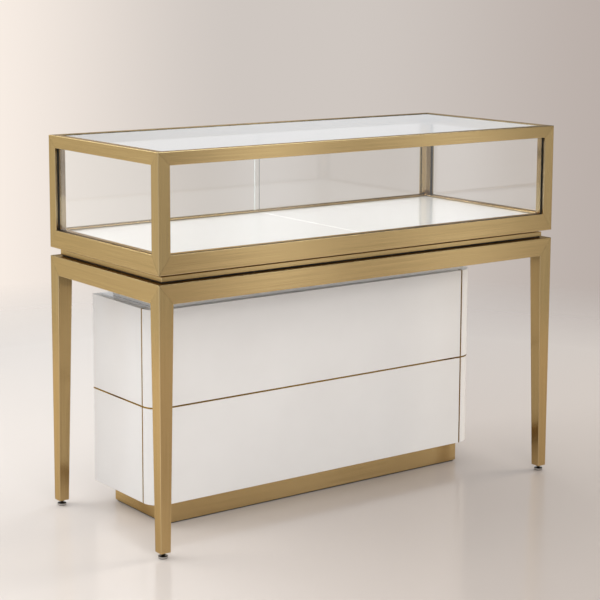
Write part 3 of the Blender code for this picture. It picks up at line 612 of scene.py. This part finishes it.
def taperedLeg(end, which, hand, back, profile, legW, railTop, railH, axis):
    # width(z) runs straight from the foot's width to the rail's; the foot end has a round socket
    outline, wearAndHighlight, crossings = withCrossings(*profile, (legW, legW))
    footW = 2 * (side - abs(axis[0]))
    low, ease = legLow[2], barLook["ease"]
    inner = insetOutline(outline, ease)
    small = np.minimum(outline, legW - outline)
    tapered = np.where(outline > legW / 2, footW - small, small)       # corner arcs keep their radius
    footInner = insetOutline(tapered, ease)
    a = np.arctan2(*(footInner - footW / 2).T[::-1])
    bore = footW / 2 + barLook["footBore"] * np.column_stack([np.cos(a), np.sin(a)])
    flat = np.stack([bore, bore, footInner, tapered, outline, outline, inner])
    top = railTop - cornerShare(np.stack([outline, inner]), (railH, legW, legW))
    level = np.full(len(outline), 1.0)
    socket = boxOf(f"levelling_foot_{end}_{which}")[1][2] + fit
    z = np.stack([socket * level, low * level, low * level, (low + ease) * level, (railTop - railH) * level,
                  top[0] - ease, top[1]])
    points = np.stack([hand * (side - flat[..., 0]), back * (face - flat[..., 1]), z], -1)
    around = runLength(outline)
    along = np.hstack([z, z[:, :1]]) + len(goldBars) * barLook["grainStep"]
    count = len(outline)
    caps = [np.arange(count)] + [half + (len(flat) - 1) * count for half in capHalves(count, crossings)]
    wornAndHighlight = np.stack([0 * wearAndHighlight, 0 * wearAndHighlight, 0 * wearAndHighlight, wearAndHighlight, wearAndHighlight, wearAndHighlight, 0 * wearAndHighlight])
    mesh = closeMesh(gridMesh(f"brushed_leg_{end}_{which}", points, (along, around), caps, wornAndHighlight))
    node = f"table_leg_{end}_{which}"
    goldBars.append(addPiece(mesh, [gold, underTableShadeGold], "showcase", [node]))
    normal = faceVectors(mesh, "normal")
    # the tapered faces, turned in under the table, take a darker gold: painted shade
    secondFinish(mesh, np.maximum(-hand * normal[:, 0], -back * normal[:, 1]) > facing)


caseBars()
tableBars()
print("bars:", len(goldBars))


# Glass, gaskets, deck and band

paneLook = {"rim": 0.0007, "sink": 0.0012}     # sink: the top pane below the rails' lip


def pane(name, node, axis, body, edge):
    # a sheet of glass; its rounded rims and narrow faces take the edge finish
    low, high = boxOf(node)
    if axis == 2:
        high[2] -= paneLook["sink"]
    mesh = slab(name, low, high, paneLook["rim"], axis)
    addPiece(mesh, [clearGlass, edge], body, [node])
    secondFinish(mesh, np.abs(faceVectors(mesh, "normal")[:, axis]) < facing)


pane("front_pane", "front_glass", 1, "showcase", rubber)
pane("left_pane", "left_glass", 0, "showcase", rubber)
pane("right_pane", "right_glass", 0, "showcase", rubber)
pane("top_pane", "top_glass", 2, "showcase", glassEdge)
pane("door_pane_left", "glass_door_left", 1, "door_left", shadeDoorEdge)
pane("door_pane_right", "glass_door_right", 1, "door_right", highlightDoorEdge)

gasketLook = {"wall": 0.0009, "lip": 0.0002, "swell": 0.0018, "round": 0.00035, "lean": 0.0001,
              "guard": 0.00005}


def gasket(which, across):
    # a channel section carried round the pane's four corners; its lips stand out further beside the posts
    low, high = boxOf(f"{which}_gasket")
    run = 1 - across
    deep = high[run] - ((side if run == 0 else face) - postW)
    wall, lip, r, lean = (gasketLook[k] for k in ("wall", "lip", "round", "lean"))
    thick = high[across] - low[across]
    section, _ = roundedOutline([(-lip, lean, r), (deep, 0, r), (deep, thick, r), (-lip, thick - lean, r),
                                 (-lip, thick - wall, r), (deep - wall, thick - wall, 0),
                                 (deep - wall, wall, 0), (-lip, wall, r)], steps=3, guard=gasketLook["guard"])
    e, v = section.T
    ends = rectangle(low[[run, 2]], high[[run, 2]])
    inward = rectangle((1, 1), (-1, -1))
    points = np.zeros((4, len(e), 3))
    points[..., run] = ends[:, :1] + inward[:, :1] * (deep - np.where(e < 0, e - gasketLook["swell"], e))
    points[..., 2] = ends[:, 1:] + inward[:, 1:] * (deep - e)
    points[..., across] = low[across] + v
    mesh = gridMesh(f"{which}_channel", points, (ends[:, :1], runLength(section)), loop=True)
    addPiece(closeMesh(mesh), [rubber], "showcase", [f"{which}_gasket"])


for which, across in (("front", 1), ("left", 0), ("right", 0)):
    gasket(which, across)

boardLook = {"deckRim": 0.0009, "bandRim": 0.0012, "sheetRim": 0.0005, "neckRim": 0.0008,
             "plinthRim": 0.0014, "bandGap": (0.010, 0.0055),     # gaps: depth and height of the shadow line
             "plinthGap": (0.004, 0.0028)}


def plainBoard(name, node, rim, material):
    addPiece(slab(name, *boxOf(node), boardLook[rim]), [material], "showcase", [node])


for _, which in hands:
    plainBoard(f"deck_{which}", f"deck_panel_{which}", "deckRim", glossWhite)


def steppedBoard(name, node, rim, gap, up):
    # a board with rounded rims and a step set back at its top (up = 1) or foot (up = -1),
    # which leaves a shadow line
    low, high = boxOf(node)
    setBack, tall = gap
    ends = (low[2], high[2] - tall) if up > 0 else (low[2] + tall, high[2])

    def ring(inset):
        corners = rectangle(low, high) + inset * rectangle((1, 1), (-1, -1))
        return roundedOutline([(*corner, rim) for corner in corners])

    outer, wearAndHighlight = ring(0.0)
    inner, _ = ring(setBack)
    insets, z = rimRings(ends, rim, steps=3)
    flat, wornAndHighlight = [insetOutline(outer, d) for d in insets], insets > 0
    if up > 0:
        flat = flat + [inner, inner]
        z = np.append(z, [ends[1], high[2]])
        wornAndHighlight = np.append(wornAndHighlight, [False, False])
    else:
        flat = [inner, inner] + flat
        z = np.append([low[2], ends[0]], z)
        wornAndHighlight = np.append([False, False], wornAndHighlight)
    flat = np.stack(flat)
    points = np.concatenate([flat, np.broadcast_to(z[:, None, None], (*flat.shape[:2], 1))], -1)
    mesh = gridMesh(name, points, (runLength(outer), z[:, None]), endCaps(len(z), len(outer)),
                    np.where(wornAndHighlight[:, None], 1.0, wearAndHighlight[None, :]))
    keepFlat(closeMesh(mesh), 2)
    addPiece(mesh, [gold, rubber], "showcase", [node])
    # the step at a foot is black rubber: a painted shadow line along the floor
    secondFinish(mesh, (faceVectors(mesh, "center")[:, 2] < low[2] + tall) & (up < 0))


steppedBoard("gold_band", "band_board", boardLook["bandRim"], boardLook["bandGap"], 1)
steppedBoard("gold_plinth", "plinth", boardLook["plinthRim"], boardLook["plinthGap"], -1)
plainBoard("black_sheet", "isolating_sheet", "sheetRim", rubber)
plainBoard("white_neck", "neck", "neckRim", satinWhite)
print("glass, deck and band made")

trackLook = {"wall": 0.0016, "round": 0.0004, "rim": 0.0002, "guard": 0.0001}


def doorTrack(which, up):
    # a double channel section along the counter, its lips rounded
    low, high = boxOf(f"door_track_{which}")
    wall, r = trackLook["wall"], trackLook["round"]
    height, width = high[2] - low[2], high[1] - low[1]
    slotW = (width - 3 * wall) / 2
    corners = [(0, 0, r), (width, 0, r), (width, height, r)]
    for right in (width - wall, wall + slotW):
        left = right - slotW
        corners += [(right, height, r), (right, wall, 0), (left, wall, 0), (left, height, r)]
    outline, wearAndHighlight = roundedOutline(corners + [(0, height, r)], steps=3, guard=trackLook["guard"])
    mouth = low[2] if up > 0 else high[2]
    mesh = plate(f"gold_track_{which}", outline, (low[0], high[0]), trackLook["rim"],
                 lambda u, v, w: np.stack([w, low[1] + u, mouth + up * v], -1), wearAndHighlight, steps=2,
                 alongDepth=True)
    # the whole track takes the darker gold: painted shade in its channels
    addPiece(mesh, [insideShadeGold], "showcase", [f"door_track_{which}"])


doorTrack("lower", 1)
doorTrack("upper", -1)


# Cabinet shell: boards with an arris, quarter-round corners and gold inlays

shellLook = {"board": 0.018, "arris": 0.0009, "guard": 0.0003, "inlayRound": 0.0005, "inlayGuard": 0.0001,
             "turnSteps": 28}
bendX, bendY = -boxOf("cabinet_corner_left")[1][0], boxOf("cabinet_corner_left")[1][1]
cornerR = bendY - cabinetLow[1]
cabinetSide = bendX + cornerR
bandLow, bandHigh = boxOf("inlay_band")
proud = cabinetLow[1] - bandLow[1]


def wallSection(out, rim, guard):
    # board section (depth, z): eased outer edges, and the band's groove with edges a third as round
    low, high, t = cabinetLow[2], cabinetHigh[2], shellLook["board"]
    g0, g1 = bandLow[2] - fit, bandHigh[2] + fit
    seat = -(bandHigh[2] - bandLow[2]) / 2
    return roundedOutline([(-t, low, 0), (out, low, rim), (out, g0, rim / 3), (seat, g0, 0), (seat, g1, 0),
                           (out, g1, rim / 3), (out, high, rim), (-t, high, 0)], guard=guard)


def carried(name, section, wearAndHighlight, origins, outs, material, slot, node):
    # a section (d, z) set at each origin, d along its outward direction
    d, z = section.T
    points = np.zeros((len(origins), len(d), 3))
    points[..., :2] = origins[:, None, :] + outs[:, None, :] * d[None, :, None]
    points[..., 2] = z
    along = runLength(origins + outs * d.max(), False)[:, None]
    across = runLength(section)[None, :]
    grain = (along, across) if "band" in name else (across, along)
    mesh = gridMesh(name, points, grain, endCaps(len(origins), len(d)), wearAndHighlight)
    addPiece(closeMesh(mesh), [material], "showcase", [node])


def straightRun(start, end, out):
    return np.array([start, end], float), np.array([out, out], float)


def quarterTurn(hand):
    # from the cabinet's side round to its front
    start = math.pi if hand < 0 else 0.0
    a = start - hand * np.linspace(0, math.pi / 2, shellLook["turnSteps"] + 1)
    outs = np.column_stack([np.cos(a), np.sin(a)])
    return np.array([hand * bendX, bendY]) + cornerR * outs, outs


def cabinetShell():
    wall = wallSection(0.0, shellLook["arris"], shellLook["guard"])
    strip = wallSection(proud, shellLook["inlayRound"], shellLook["inlayGuard"])
    front = cabinetLow[1]

    def alongFront(start, end):
        return straightRun((start[0], front), (end[0], front), (0, -1))

    carried("white_front", *wall, *alongFront(cabinetLow, cabinetHigh), satinWhite, "white_lacquer",
            "cabinet_front")
    rear = boxOf("cabinet_side_left")[1][1]
    for hand, which in hands:
        carried(f"white_corner_{which}", *wall, *quarterTurn(hand), satinWhite, "white_lacquer",
                f"cabinet_corner_{which}")
        x = hand * cabinetSide
        board = straightRun((x, boxOf(f"cabinet_side_{which}")[0][1]), (x, rear), (hand, 0))
        carried(f"white_side_{which}", *wall, *board, satinWhite, "white_lacquer", f"cabinet_side_{which}")
        carried(f"gold_strip_front_{which}", *strip, *alongFront(*boxOf(f"inlay_strip_front_{which}")),
                inlayGold, "brushed_gold", f"inlay_strip_front_{which}")
        a, b = boxOf(f"inlay_strip_side_{which}")
        carried(f"gold_strip_side_{which}", *strip, *straightRun((x, a[1]), (x, b[1]), (hand, 0)),
                inlayGold, "brushed_gold", f"inlay_strip_side_{which}")
    left, leftOut = quarterTurn(-1)
    right, rightOut = quarterTurn(1)
    origins = np.vstack([[(-cabinetSide, rear)], left, right[::-1], [(cabinetSide, rear)]])
    outs = np.vstack([[(-1, 0)], leftOut, rightOut[::-1], [(1, 0)]])
    r = shellLook["inlayRound"]
    seat = proud - (bandHigh[2] - bandLow[2]) / 2
    band = roundedOutline([(seat, bandLow[2], 0), (proud, bandLow[2], r), (proud, bandHigh[2], r),
                           (seat, bandHigh[2], 0)], steps=3, guard=shellLook["inlayGuard"])
    carried("gold_inlay_band", *band, origins, outs, inlayGold, "brushed_gold", "inlay_band")


cabinetShell()
refinish("cabinet_top", glossWhite)
refinish("cabinet_bottom", satinWhite)
print("cabinet shell made")


# Drawers: fronts, boxes, pulls, runners and the lock

drawerLook = {"frontRim": 0.0010, "lockHole": 0.0093, "around": 48, "pullRound": 0.0016, "pullBend": 0.006}
runnerLook = {"rim": 0.0008, "sunk": 0.0002, "out": 0.010, "half": 0.006, "short": 0.0027}


def drawerFront(level, hole=None):
    # a front with rounded rims; the upper one has a round hole through it for the lock
    node = f"drawer_front_{level}"
    low, high = boxOf(node)
    rim = drawerLook["frontRim"]
    if hole is None:
        mesh = slab(f"white_drawer_{level}", low, high, rim, 1)
    else:
        low2, high2 = low[[0, 2]], high[[0, 2]]
        corners = rectangle(low2, high2) - hole
        even = np.linspace(-math.pi, math.pi, drawerLook["around"], endpoint=False)
        angle = np.sort(np.concatenate([np.arctan2(corners[:, 1], corners[:, 0]), even]))
        ray = np.column_stack([np.cos(angle), np.sin(angle)])
        limit = np.where(ray > 0, high2 - hole, low2 - hole) / np.where(np.abs(ray) < tiny, tiny, ray)
        rect = hole + ray * np.min(np.abs(limit), axis=1, keepdims=True)
        middle, half = (low2 + high2) / 2, (high2 - low2) / 2
        inset, depth = rimRings((low[1], high[1]), rim, steps=3)
        flat = [middle + (rect - middle) * (half - d) / half for d in inset]
        bore = hole + ray * drawerLook["lockHole"]
        flat = np.stack([bore] + flat + [bore])
        depth = np.concatenate([[low[1]], depth, [high[1]]])
        points = np.stack([flat[..., 0], np.broadcast_to(depth[:, None], flat.shape[:2]), flat[..., 1]], -1)
        mesh = gridMesh(f"white_drawer_{level}", points, (runLength(rect), depth[:, None]), loop=True)
        keepFlat(closeMesh(mesh), 1)
    addPiece(mesh, [satinWhite], f"drawer_{level}", [node])


def drawerPull(level):
    # a flat bar bent back at both ends: its plan carried up, with rounded rims
    node = f"drawer_pull_{level}"
    low, high = boxOf(node)
    bar = high[2] - low[2]
    r, bend = drawerLook["pullRound"], drawerLook["pullBend"]
    corners = [(low[0], low[1], 0), (low[0], high[1], bend), (high[0], high[1], bend), (high[0], low[1], 0),
               (high[0] - bar, low[1], 0), (high[0] - bar, high[1] - bar, r),
               (low[0] + bar, high[1] - bar, r), (low[0] + bar, low[1], 0)]
    outline, wearAndHighlight = roundedOutline(corners, steps=8)
    mesh = plate(f"gold_pull_{level}", outline, (low[2], high[2]), r,
                 lambda u, v, w: np.stack([u, v, w], -1), wearAndHighlight, steps=4)
    addPiece(mesh, [gold], f"drawer_{level}", [node])


lockLook = {"collar": 0.0012, "core": 0.0062, "chamfer": 0.0004, "sink": 0.0006, "keyHalf": (0.0009, 0.0042),
            "keyDeep": 0.004, "around": 64, "rimSteps": 4}
tongueLook = {"half": 0.005, "thick": 0.003, "rootRound": 0.001, "tipRound": 0.003, "rim": 0.0004}


def slotReach(angle, wide, tall):
    # distance from the middle of a slot with half-round ends to its outline, along an angle
    c, s = np.abs(np.cos(angle)), np.abs(np.sin(angle))
    straight = wide / np.maximum(c, tiny)
    e = tall - wide
    atEnd = e * s + np.sqrt(np.maximum(wide ** 2 - (e * c) ** 2, 0))
    return np.where(straight * s <= e, straight, atEnd)


def drawerLock(axis):
    # a turned barrel about Y with a sunk core, and a key slot seen along rays from the middle
    low, high = boxOf("drawer_lock")
    radius, rim = axis[2] - low[2], lockLook["collar"]
    angle = np.linspace(-math.pi, math.pi, lockLook["around"], endpoint=False)
    ray = np.column_stack([np.cos(angle), np.sin(angle)])
    a = np.linspace(0, math.pi / 2, lockLook["rimSteps"] + 1)
    core, sink, top = lockLook["core"], lockLook["sink"], high[1]
    key = slotReach(angle, *lockLook["keyHalf"])
    reach = [(radius, low[1]), (radius, top - rim)] + [(radius - rim * (1 - c), top - rim * (1 - s))
                                                       for c, s in zip(np.cos(a), np.sin(a))]
    reach += [(core + lockLook["chamfer"], top), (core, top - sink), (key, top - sink),
              (key, top - sink - lockLook["keyDeep"])]
    r = np.stack([np.broadcast_to(v, angle.shape) for v, _ in reach])
    y = np.array([d for _, d in reach])
    points = np.stack([axis[0] + r * ray[:, 0], np.broadcast_to(y[:, None], r.shape),
                       axis[2] + r * ray[:, 1]], -1)
    along = np.append(angle, math.pi) * radius
    across = np.hstack([r, r[:, :1]])
    mesh = closeMesh(gridMesh("lock_barrel", points, (along, across), endCaps(len(y), len(angle))))
    addPiece(mesh, [steel], "lock", ["drawer_lock"])
    wide, tip = tongueLook["half"], high[0] - axis[0]
    near, far = tongueLook["rootRound"], tongueLook["tipRound"]
    corners = [(0, -wide, near), (tip, -wide, far), (tip, wide, far), (0, wide, near)]
    outline, wearAndHighlight = roundedOutline(corners, steps=5)
    mesh = plate("lock_tongue", outline, (low[1], low[1] + tongueLook["thick"]), tongueLook["rim"],
                 lambda u, v, w: np.stack([axis[0] + u, w, axis[2] + v], -1), wearAndHighlight)
    addPiece(mesh, [steel], "lock")


def drawerRunner(level, hand, which):
    # the rail on a side board that the box's groove runs on
    low, high = boxOf(f"drawer_box_{level}")
    z, half = (low[2] + high[2]) / 2, runnerLook["half"]
    inner = cabinetSide - shellLook["board"]
    x = np.sort(hand * np.array([inner + runnerLook["sunk"], inner - runnerLook["out"]]))
    mesh = slab(f"runner_{level}_{which}", (x[0], low[1], z - half),
                (x[1], high[1] - runnerLook["short"], z + half), runnerLook["rim"])
    addPiece(mesh, [steel], "showcase")


lockAxis = next(j["pos_m"] for j in frame["joints"] if j["name"] == "lock_turn")
drawerFront("lower")
drawerFront("upper", np.array([lockAxis[0], lockAxis[2]]))
for level in ("lower", "upper"):
    drawerPull(level)
    refinish(f"drawer_box_{level}", melamine)
    for hand, which in hands:
        drawerRunner(level, hand, which)
drawerLock(lockAxis)
print("drawers made")


# Levelling feet: disc, threaded stud and lock nut

footLook = {"around": 72, "discH": 0.006, "rim": 0.0012, "stud": 0.0039, "neck": (0.0022, 0.0006, 0.0008),
            "pitch": 0.00125, "threadDeep": 0.0005, "threadSteps": 5, "threadFrom": (0.0010, 0.0003),
            "nutLow": 0.0107, "nutAcross": 0.0118, "chamfer": 0.0005, "bevel": 0.0004, "smooth": 40,
            "rimSteps": 3, "bright": (0.0012, 0.0046)}     # bright: the heights of the disc's plated band


def levellingFoot(end, which):
    # radius by angle at each level: a turned disc, r = stud - deep |2 frac(z / pitch - a / turn) - 1|,
    # and a hexagon, r = flats / cos a
    node = f"levelling_foot_{end}_{which}"
    low, high = boxOf(node)
    centre = (low + high) / 2
    a = np.linspace(0, math.tau, footLook["around"], endpoint=False)
    disc, rim, h = (high[0] - low[0]) / 2, footLook["rim"], footLook["discH"]
    stud, (wide, slim, rise) = footLook["stud"], footLook["neck"]
    turn = np.linspace(0, math.pi / 2, footLook["rimSteps"] + 1)
    arc = [(0 * a + disc - rim * (1 - s), rim * (1 - c)) for s, c in zip(np.sin(turn), np.cos(turn))]
    levels = arc + [(reach, h - up) for reach, up in arc[::-1]]
    levels += [(0 * a + stud + wide, h), (0 * a + stud + slim, h + rise)]
    under = legLow[2] - fit

    def thread(start, stop):
        z = np.arange(start, stop, footLook["pitch"] / footLook["threadSteps"])
        saw = (z[:, None] / footLook["pitch"] - a / math.tau) % 1.0
        return [(stud - footLook["threadDeep"] * np.abs(2 * s - 1), zz) for s, zz in zip(saw, z)]

    hexagon = footLook["nutAcross"] / 2 / np.cos((a + math.pi / 6) % (math.pi / 3) - math.pi / 6)
    flats, c = footLook["nutAcross"] / 2, footLook["chamfer"]
    nutLow, bevelled = footLook["nutLow"], np.minimum(hexagon, flats + footLook["bevel"])
    levels += thread(h + footLook["threadFrom"][0], nutLow)
    levels += [(0 * a + stud, nutLow), (0 * a + flats, nutLow), (bevelled, nutLow + c / 2),
               (hexagon, nutLow + c), (hexagon, under - c), (bevelled, under - c / 2),
               (0 * a + flats, under), (0 * a + stud, under)]
    levels += thread(under + footLook["threadFrom"][1], high[2])
    r = np.stack([v for v, _ in levels])
    z = np.array([v for _, v in levels])
    points = np.stack([centre[0] + r * np.cos(a), centre[1] + r * np.sin(a),
                       np.broadcast_to(z[:, None], r.shape)], -1)
    along = np.append(a, math.tau) * disc
    mesh = gridMesh(f"steel_foot_{end}_{which}", points, (along, z[:, None]), endCaps(len(z), len(a)))
    closeMesh(mesh, footLook["smooth"])
    level = faceVectors(mesh, "center")[:, 2]
    addPiece(mesh, [steel, shadeDarkSteel], f"foot_{end}_{which}", [node])
    # the stud and nut take the dark steel as painted shade, and the disc's lowest band is dark too
    secondFinish(mesh, (level <= footLook["bright"][0]) | (level >= footLook["bright"][1]))


for _, end in backs:
    for _, which in hands:
        levellingFoot(end, which)
print("feet made")


# Stage: floor, backdrop, lamps and camera

# the side toward which floor and wall are painted paler: painted light
paintedLightSide = (-0.804, 0.5945, 0.0)      # left in the picture
floorLook = {"dim": (0.57, 0.508, 0.468), "pale": (0.83, 0.77, 0.725), "span": (-0.3, 0.7),
             "reach": (1.9, 3.1), "rough": 0.15, "sunk": 0.0004, "rings": 24, "around": 96,
             "middle": (0.001, 0.1), "over": 0.1}
wallLook = {"dim": (0.49, 0.427, 0.394), "mid": (0.624, 0.571, 0.533), "pale": (0.985, 0.89, 0.812),
            "spans": ((-0.20, -0.02), (0.03, 0.22)), "fill": (0.43, 0.428, 0.425)}
roomLook = {"dim": (0.42, 0.405, 0.385), "bright": (0.82, 0.83, 0.845), "side": (-0.62, 0.78, 0.0),
            "span": (-0.35, 0.75), "high": 0.2, "highSpan": (0.14, 0.36), "drop": (0.62, 1.2),
            "dropSpan": (-0.17, -0.09),
            # pale panels: azimuth, half width, strength
            "panels": ((-54.6, 2.4, 3.3), (-48.2, 2.4, 2.7), (53.5, 26.0, 1.15))}


def towards(tree, way, direction):
    return shaderNode(tree, "ShaderNodeVectorMath", {0: way, 1: Vector(direction).normalized()},
                      operation="DOT_PRODUCT").outputs["Value"]


def paleFloor():
    # a round floor, rings of radius r, painted paler to the left as a pool of light, that fades into the
    # backdrop
    (first, second), edge = floorLook["middle"], floorLook["reach"][1] + floorLook["over"]
    r = np.concatenate([[first], np.linspace(second, edge, floorLook["rings"])])[:, None]
    a = np.linspace(0, math.tau, floorLook["around"], endpoint=False)
    points = np.stack([r * np.cos(a), r * np.sin(a), 0 * r * a - floorLook["sunk"]], -1)
    mesh = gridMesh("pale_floor", points, (r, np.append(a, math.tau)), [range(len(a))])
    floor = newObject("pale_floor", mesh)
    material, tree, shader = newFinish("paleFloor", {"Roughness": floorLook["rough"]})
    place = objectPlace(tree)
    left = between(tree, towards(tree, place, paintedLightSide), 0.0, 1.0, *floorLook["span"], "SMOOTHSTEP")
    tree.links.new(colourMix(tree, left, floorLook["dim"], floorLook["pale"]), shader.inputs["Base Color"])
    reach = shaderNode(tree, "ShaderNodeVectorMath", {0: place}, operation="LENGTH").outputs["Value"]
    tree.links.new(between(tree, reach, 1.0, 0.0, *floorLook["reach"]), shader.inputs["Alpha"])
    mesh.materials.append(material)


def roomColour(tree, way):
    # what gloss meets: a room brighter on one side and darker high up, with pale panels that fade downwards
    bright = between(tree, towards(tree, way, roomLook["side"]), 0.0, 1.0, *roomLook["span"])
    axes = shaderNode(tree, "ShaderNodeSeparateXYZ", {0: way}).outputs
    azimuth = maths(tree, "ARCTAN2", axes["Y"], axes["X"])
    drop = between(tree, axes["Z"], *roomLook["drop"], *roomLook["dropSpan"])
    for middle, half, strength in roomLook["panels"]:
        off = maths(tree, "ABSOLUTE", maths(tree, "SUBTRACT", azimuth, math.radians(middle)))
        panel = between(tree, off, strength, 0.0, 0.0, math.radians(half), "SMOOTHSTEP")
        bright = maths(tree, "MAXIMUM", bright, maths(tree, "MULTIPLY", panel, drop))
    colour = colourMix(tree, bright, roomLook["dim"], roomLook["bright"])
    high = between(tree, axes["Z"], 1.0, roomLook["high"], *roomLook["highSpan"], "SMOOTHSTEP")
    scaled = shaderNode(tree, "ShaderNodeVectorMath", {0: colour, "Scale": high}, operation="SCALE")
    return scaled.outputs["Vector"]


def backdrop():
    # camera and see-through rays meet a plain wall, painted paler on the left as light falling there; gloss
    # meets the room
    world = bpy.data.worlds.new("studio")
    bpy.context.scene.world = world
    world.use_nodes = True
    tree = world.node_tree
    plain = tree.nodes["Background"]
    plain.inputs["Color"].default_value = (*wallLook["fill"], 1.0)
    path = shaderNode(tree, "ShaderNodeLightPath")
    way = shaderNode(tree, "ShaderNodeTexCoord").outputs["Generated"]
    left = towards(tree, way, paintedLightSide)
    dim, pale = (between(tree, left, 0.0, 1.0, *span, "SMOOTHSTEP") for span in wallLook["spans"])
    wall = colourMix(tree, pale, colourMix(tree, dim, wallLook["dim"], wallLook["mid"]), wallLook["pale"])
    behind = shaderNode(tree, "ShaderNodeBackground", {"Color": wall})
    gloss = shaderNode(tree, "ShaderNodeBackground", {"Color": roomColour(tree, way)})
    glossy = shaderNode(tree, "ShaderNodeMixShader", {0: path.outputs["Is Glossy Ray"], 1: plain.outputs[0],
                                                      2: gloss.outputs[0]})
    seen = maths(tree, "MAXIMUM", path.outputs["Is Camera Ray"], path.outputs["Is Transmission Ray"])
    final = shaderNode(tree, "ShaderNodeMixShader", {0: seen, 1: glossy.outputs[0], 2: behind.outputs[0]})
    tree.links.new(final.outputs[0], tree.nodes["World Output"].inputs["Surface"])


# inGloss: whether gloss and glass show the lamp's box
lamps = ({"name": "keyBox", "place": (-1.6, -3.2, 2.5), "aim": (0.0, 0.0, 0.45), "size": (2.4, 2.0),
          "watts": 27.0, "colour": (1.0, 0.99, 0.98), "inGloss": False},
         {"name": "overheadBox", "place": (1.2, 0.3, 3.1), "aim": (0.3, 0.0, 0.7), "size": (2.4, 1.6),
          "watts": 38.0, "colour": (0.94, 0.975, 1.0), "inGloss": True},
         {"name": "frontBox", "place": (-1.2, -3.8, 1.45), "aim": (0.0, 0.0, 0.4), "size": (2.0, 1.6),
          "watts": 53.0, "colour": (1.0, 0.99, 0.98), "inGloss": False},
         {"name": "sideBox", "place": (-2.1, 1.5, 2.3), "aim": (-1.7, 1.3, 0.0), "size": (1.8, 1.8),
          "watts": 38.0, "colour": (1.0, 0.985, 0.965), "inGloss": True},
         {"name": "rimBox", "place": (-0.5, 2.5, 2.5), "aim": (-0.2, 0.0, 0.8), "size": (1.8, 0.9),
          "watts": 16.0, "colour": (0.97, 0.985, 1.0), "inGloss": True},
         {"name": "cornerBox", "place": (3.5, -1.0, 1.15), "aim": (0.3, 0.0, 0.4), "size": (1.6, 1.2),
          "watts": 56.0, "colour": (1.0, 0.9, 0.76), "inGloss": False},
         {"name": "lowBox", "place": (-3.0, 0.1, 1.0), "aim": (-0.5, 0.1, 0.5), "size": (1.6, 0.7),
          "watts": 16.0, "colour": (0.97, 0.985, 1.0), "inGloss": False})


def softBox(lamp):
    data = bpy.data.lights.new(lamp["name"], "AREA")
    data.shape = "RECTANGLE"
    data.size, data.size_y = lamp["size"]
    data.energy, data.color = lamp["watts"], lamp["colour"]
    box = newObject(lamp["name"], data)
    box.location = lamp["place"]
    box.rotation_euler = (Vector(lamp["aim"]) - Vector(lamp["place"])).to_track_quat("-Z", "Y").to_euler()
    box.visible_camera = False
    box.visible_glossy = box.visible_transmission = lamp["inGloss"]      # glass needs both


# Fitted to the photo: a 600 by 600 frame with its axis above the middle, as in a cropped picture
cameraFit = {"place": (-2.4931, -3.3289, 1.2998), "yaw": 36.479, "pitch": 8.304, "roll": 0.244,
             "focalPx": 1670.8, "axisPx": (300, 220), "framePx": 600, "sensor": 36.0}


def photoCamera():
    yaw, pitch, roll = (math.radians(cameraFit[k]) for k in ("yaw", "pitch", "roll"))
    ahead = Vector((math.sin(yaw) * math.cos(pitch), math.cos(yaw) * math.cos(pitch), -math.sin(pitch)))
    level = Vector((math.cos(yaw), -math.sin(yaw), 0.0))
    upright = level.cross(ahead)
    right = level * math.cos(roll) + upright * math.sin(roll)
    up = upright * math.cos(roll) - level * math.sin(roll)
    data = bpy.data.cameras.new("photoCamera")
    size = cameraFit["framePx"]
    data.sensor_width = cameraFit["sensor"]
    data.lens = cameraFit["focalPx"] * cameraFit["sensor"] / size
    data.shift_x = (size / 2 - cameraFit["axisPx"][0]) / size
    data.shift_y = (cameraFit["axisPx"][1] - size / 2) / size
    camera = newObject("photoCamera", data)
    turn = Matrix((right, up, -ahead)).transposed().to_4x4()
    camera.matrix_world = Matrix.Translation(cameraFit["place"]) @ turn
    bpy.context.scene.camera = camera


paleFloor()
backdrop()
for lamp in lamps:
    softBox(lamp)
photoCamera()
bpy.context.scene.view_settings.view_transform = "Standard"
print("stage set")
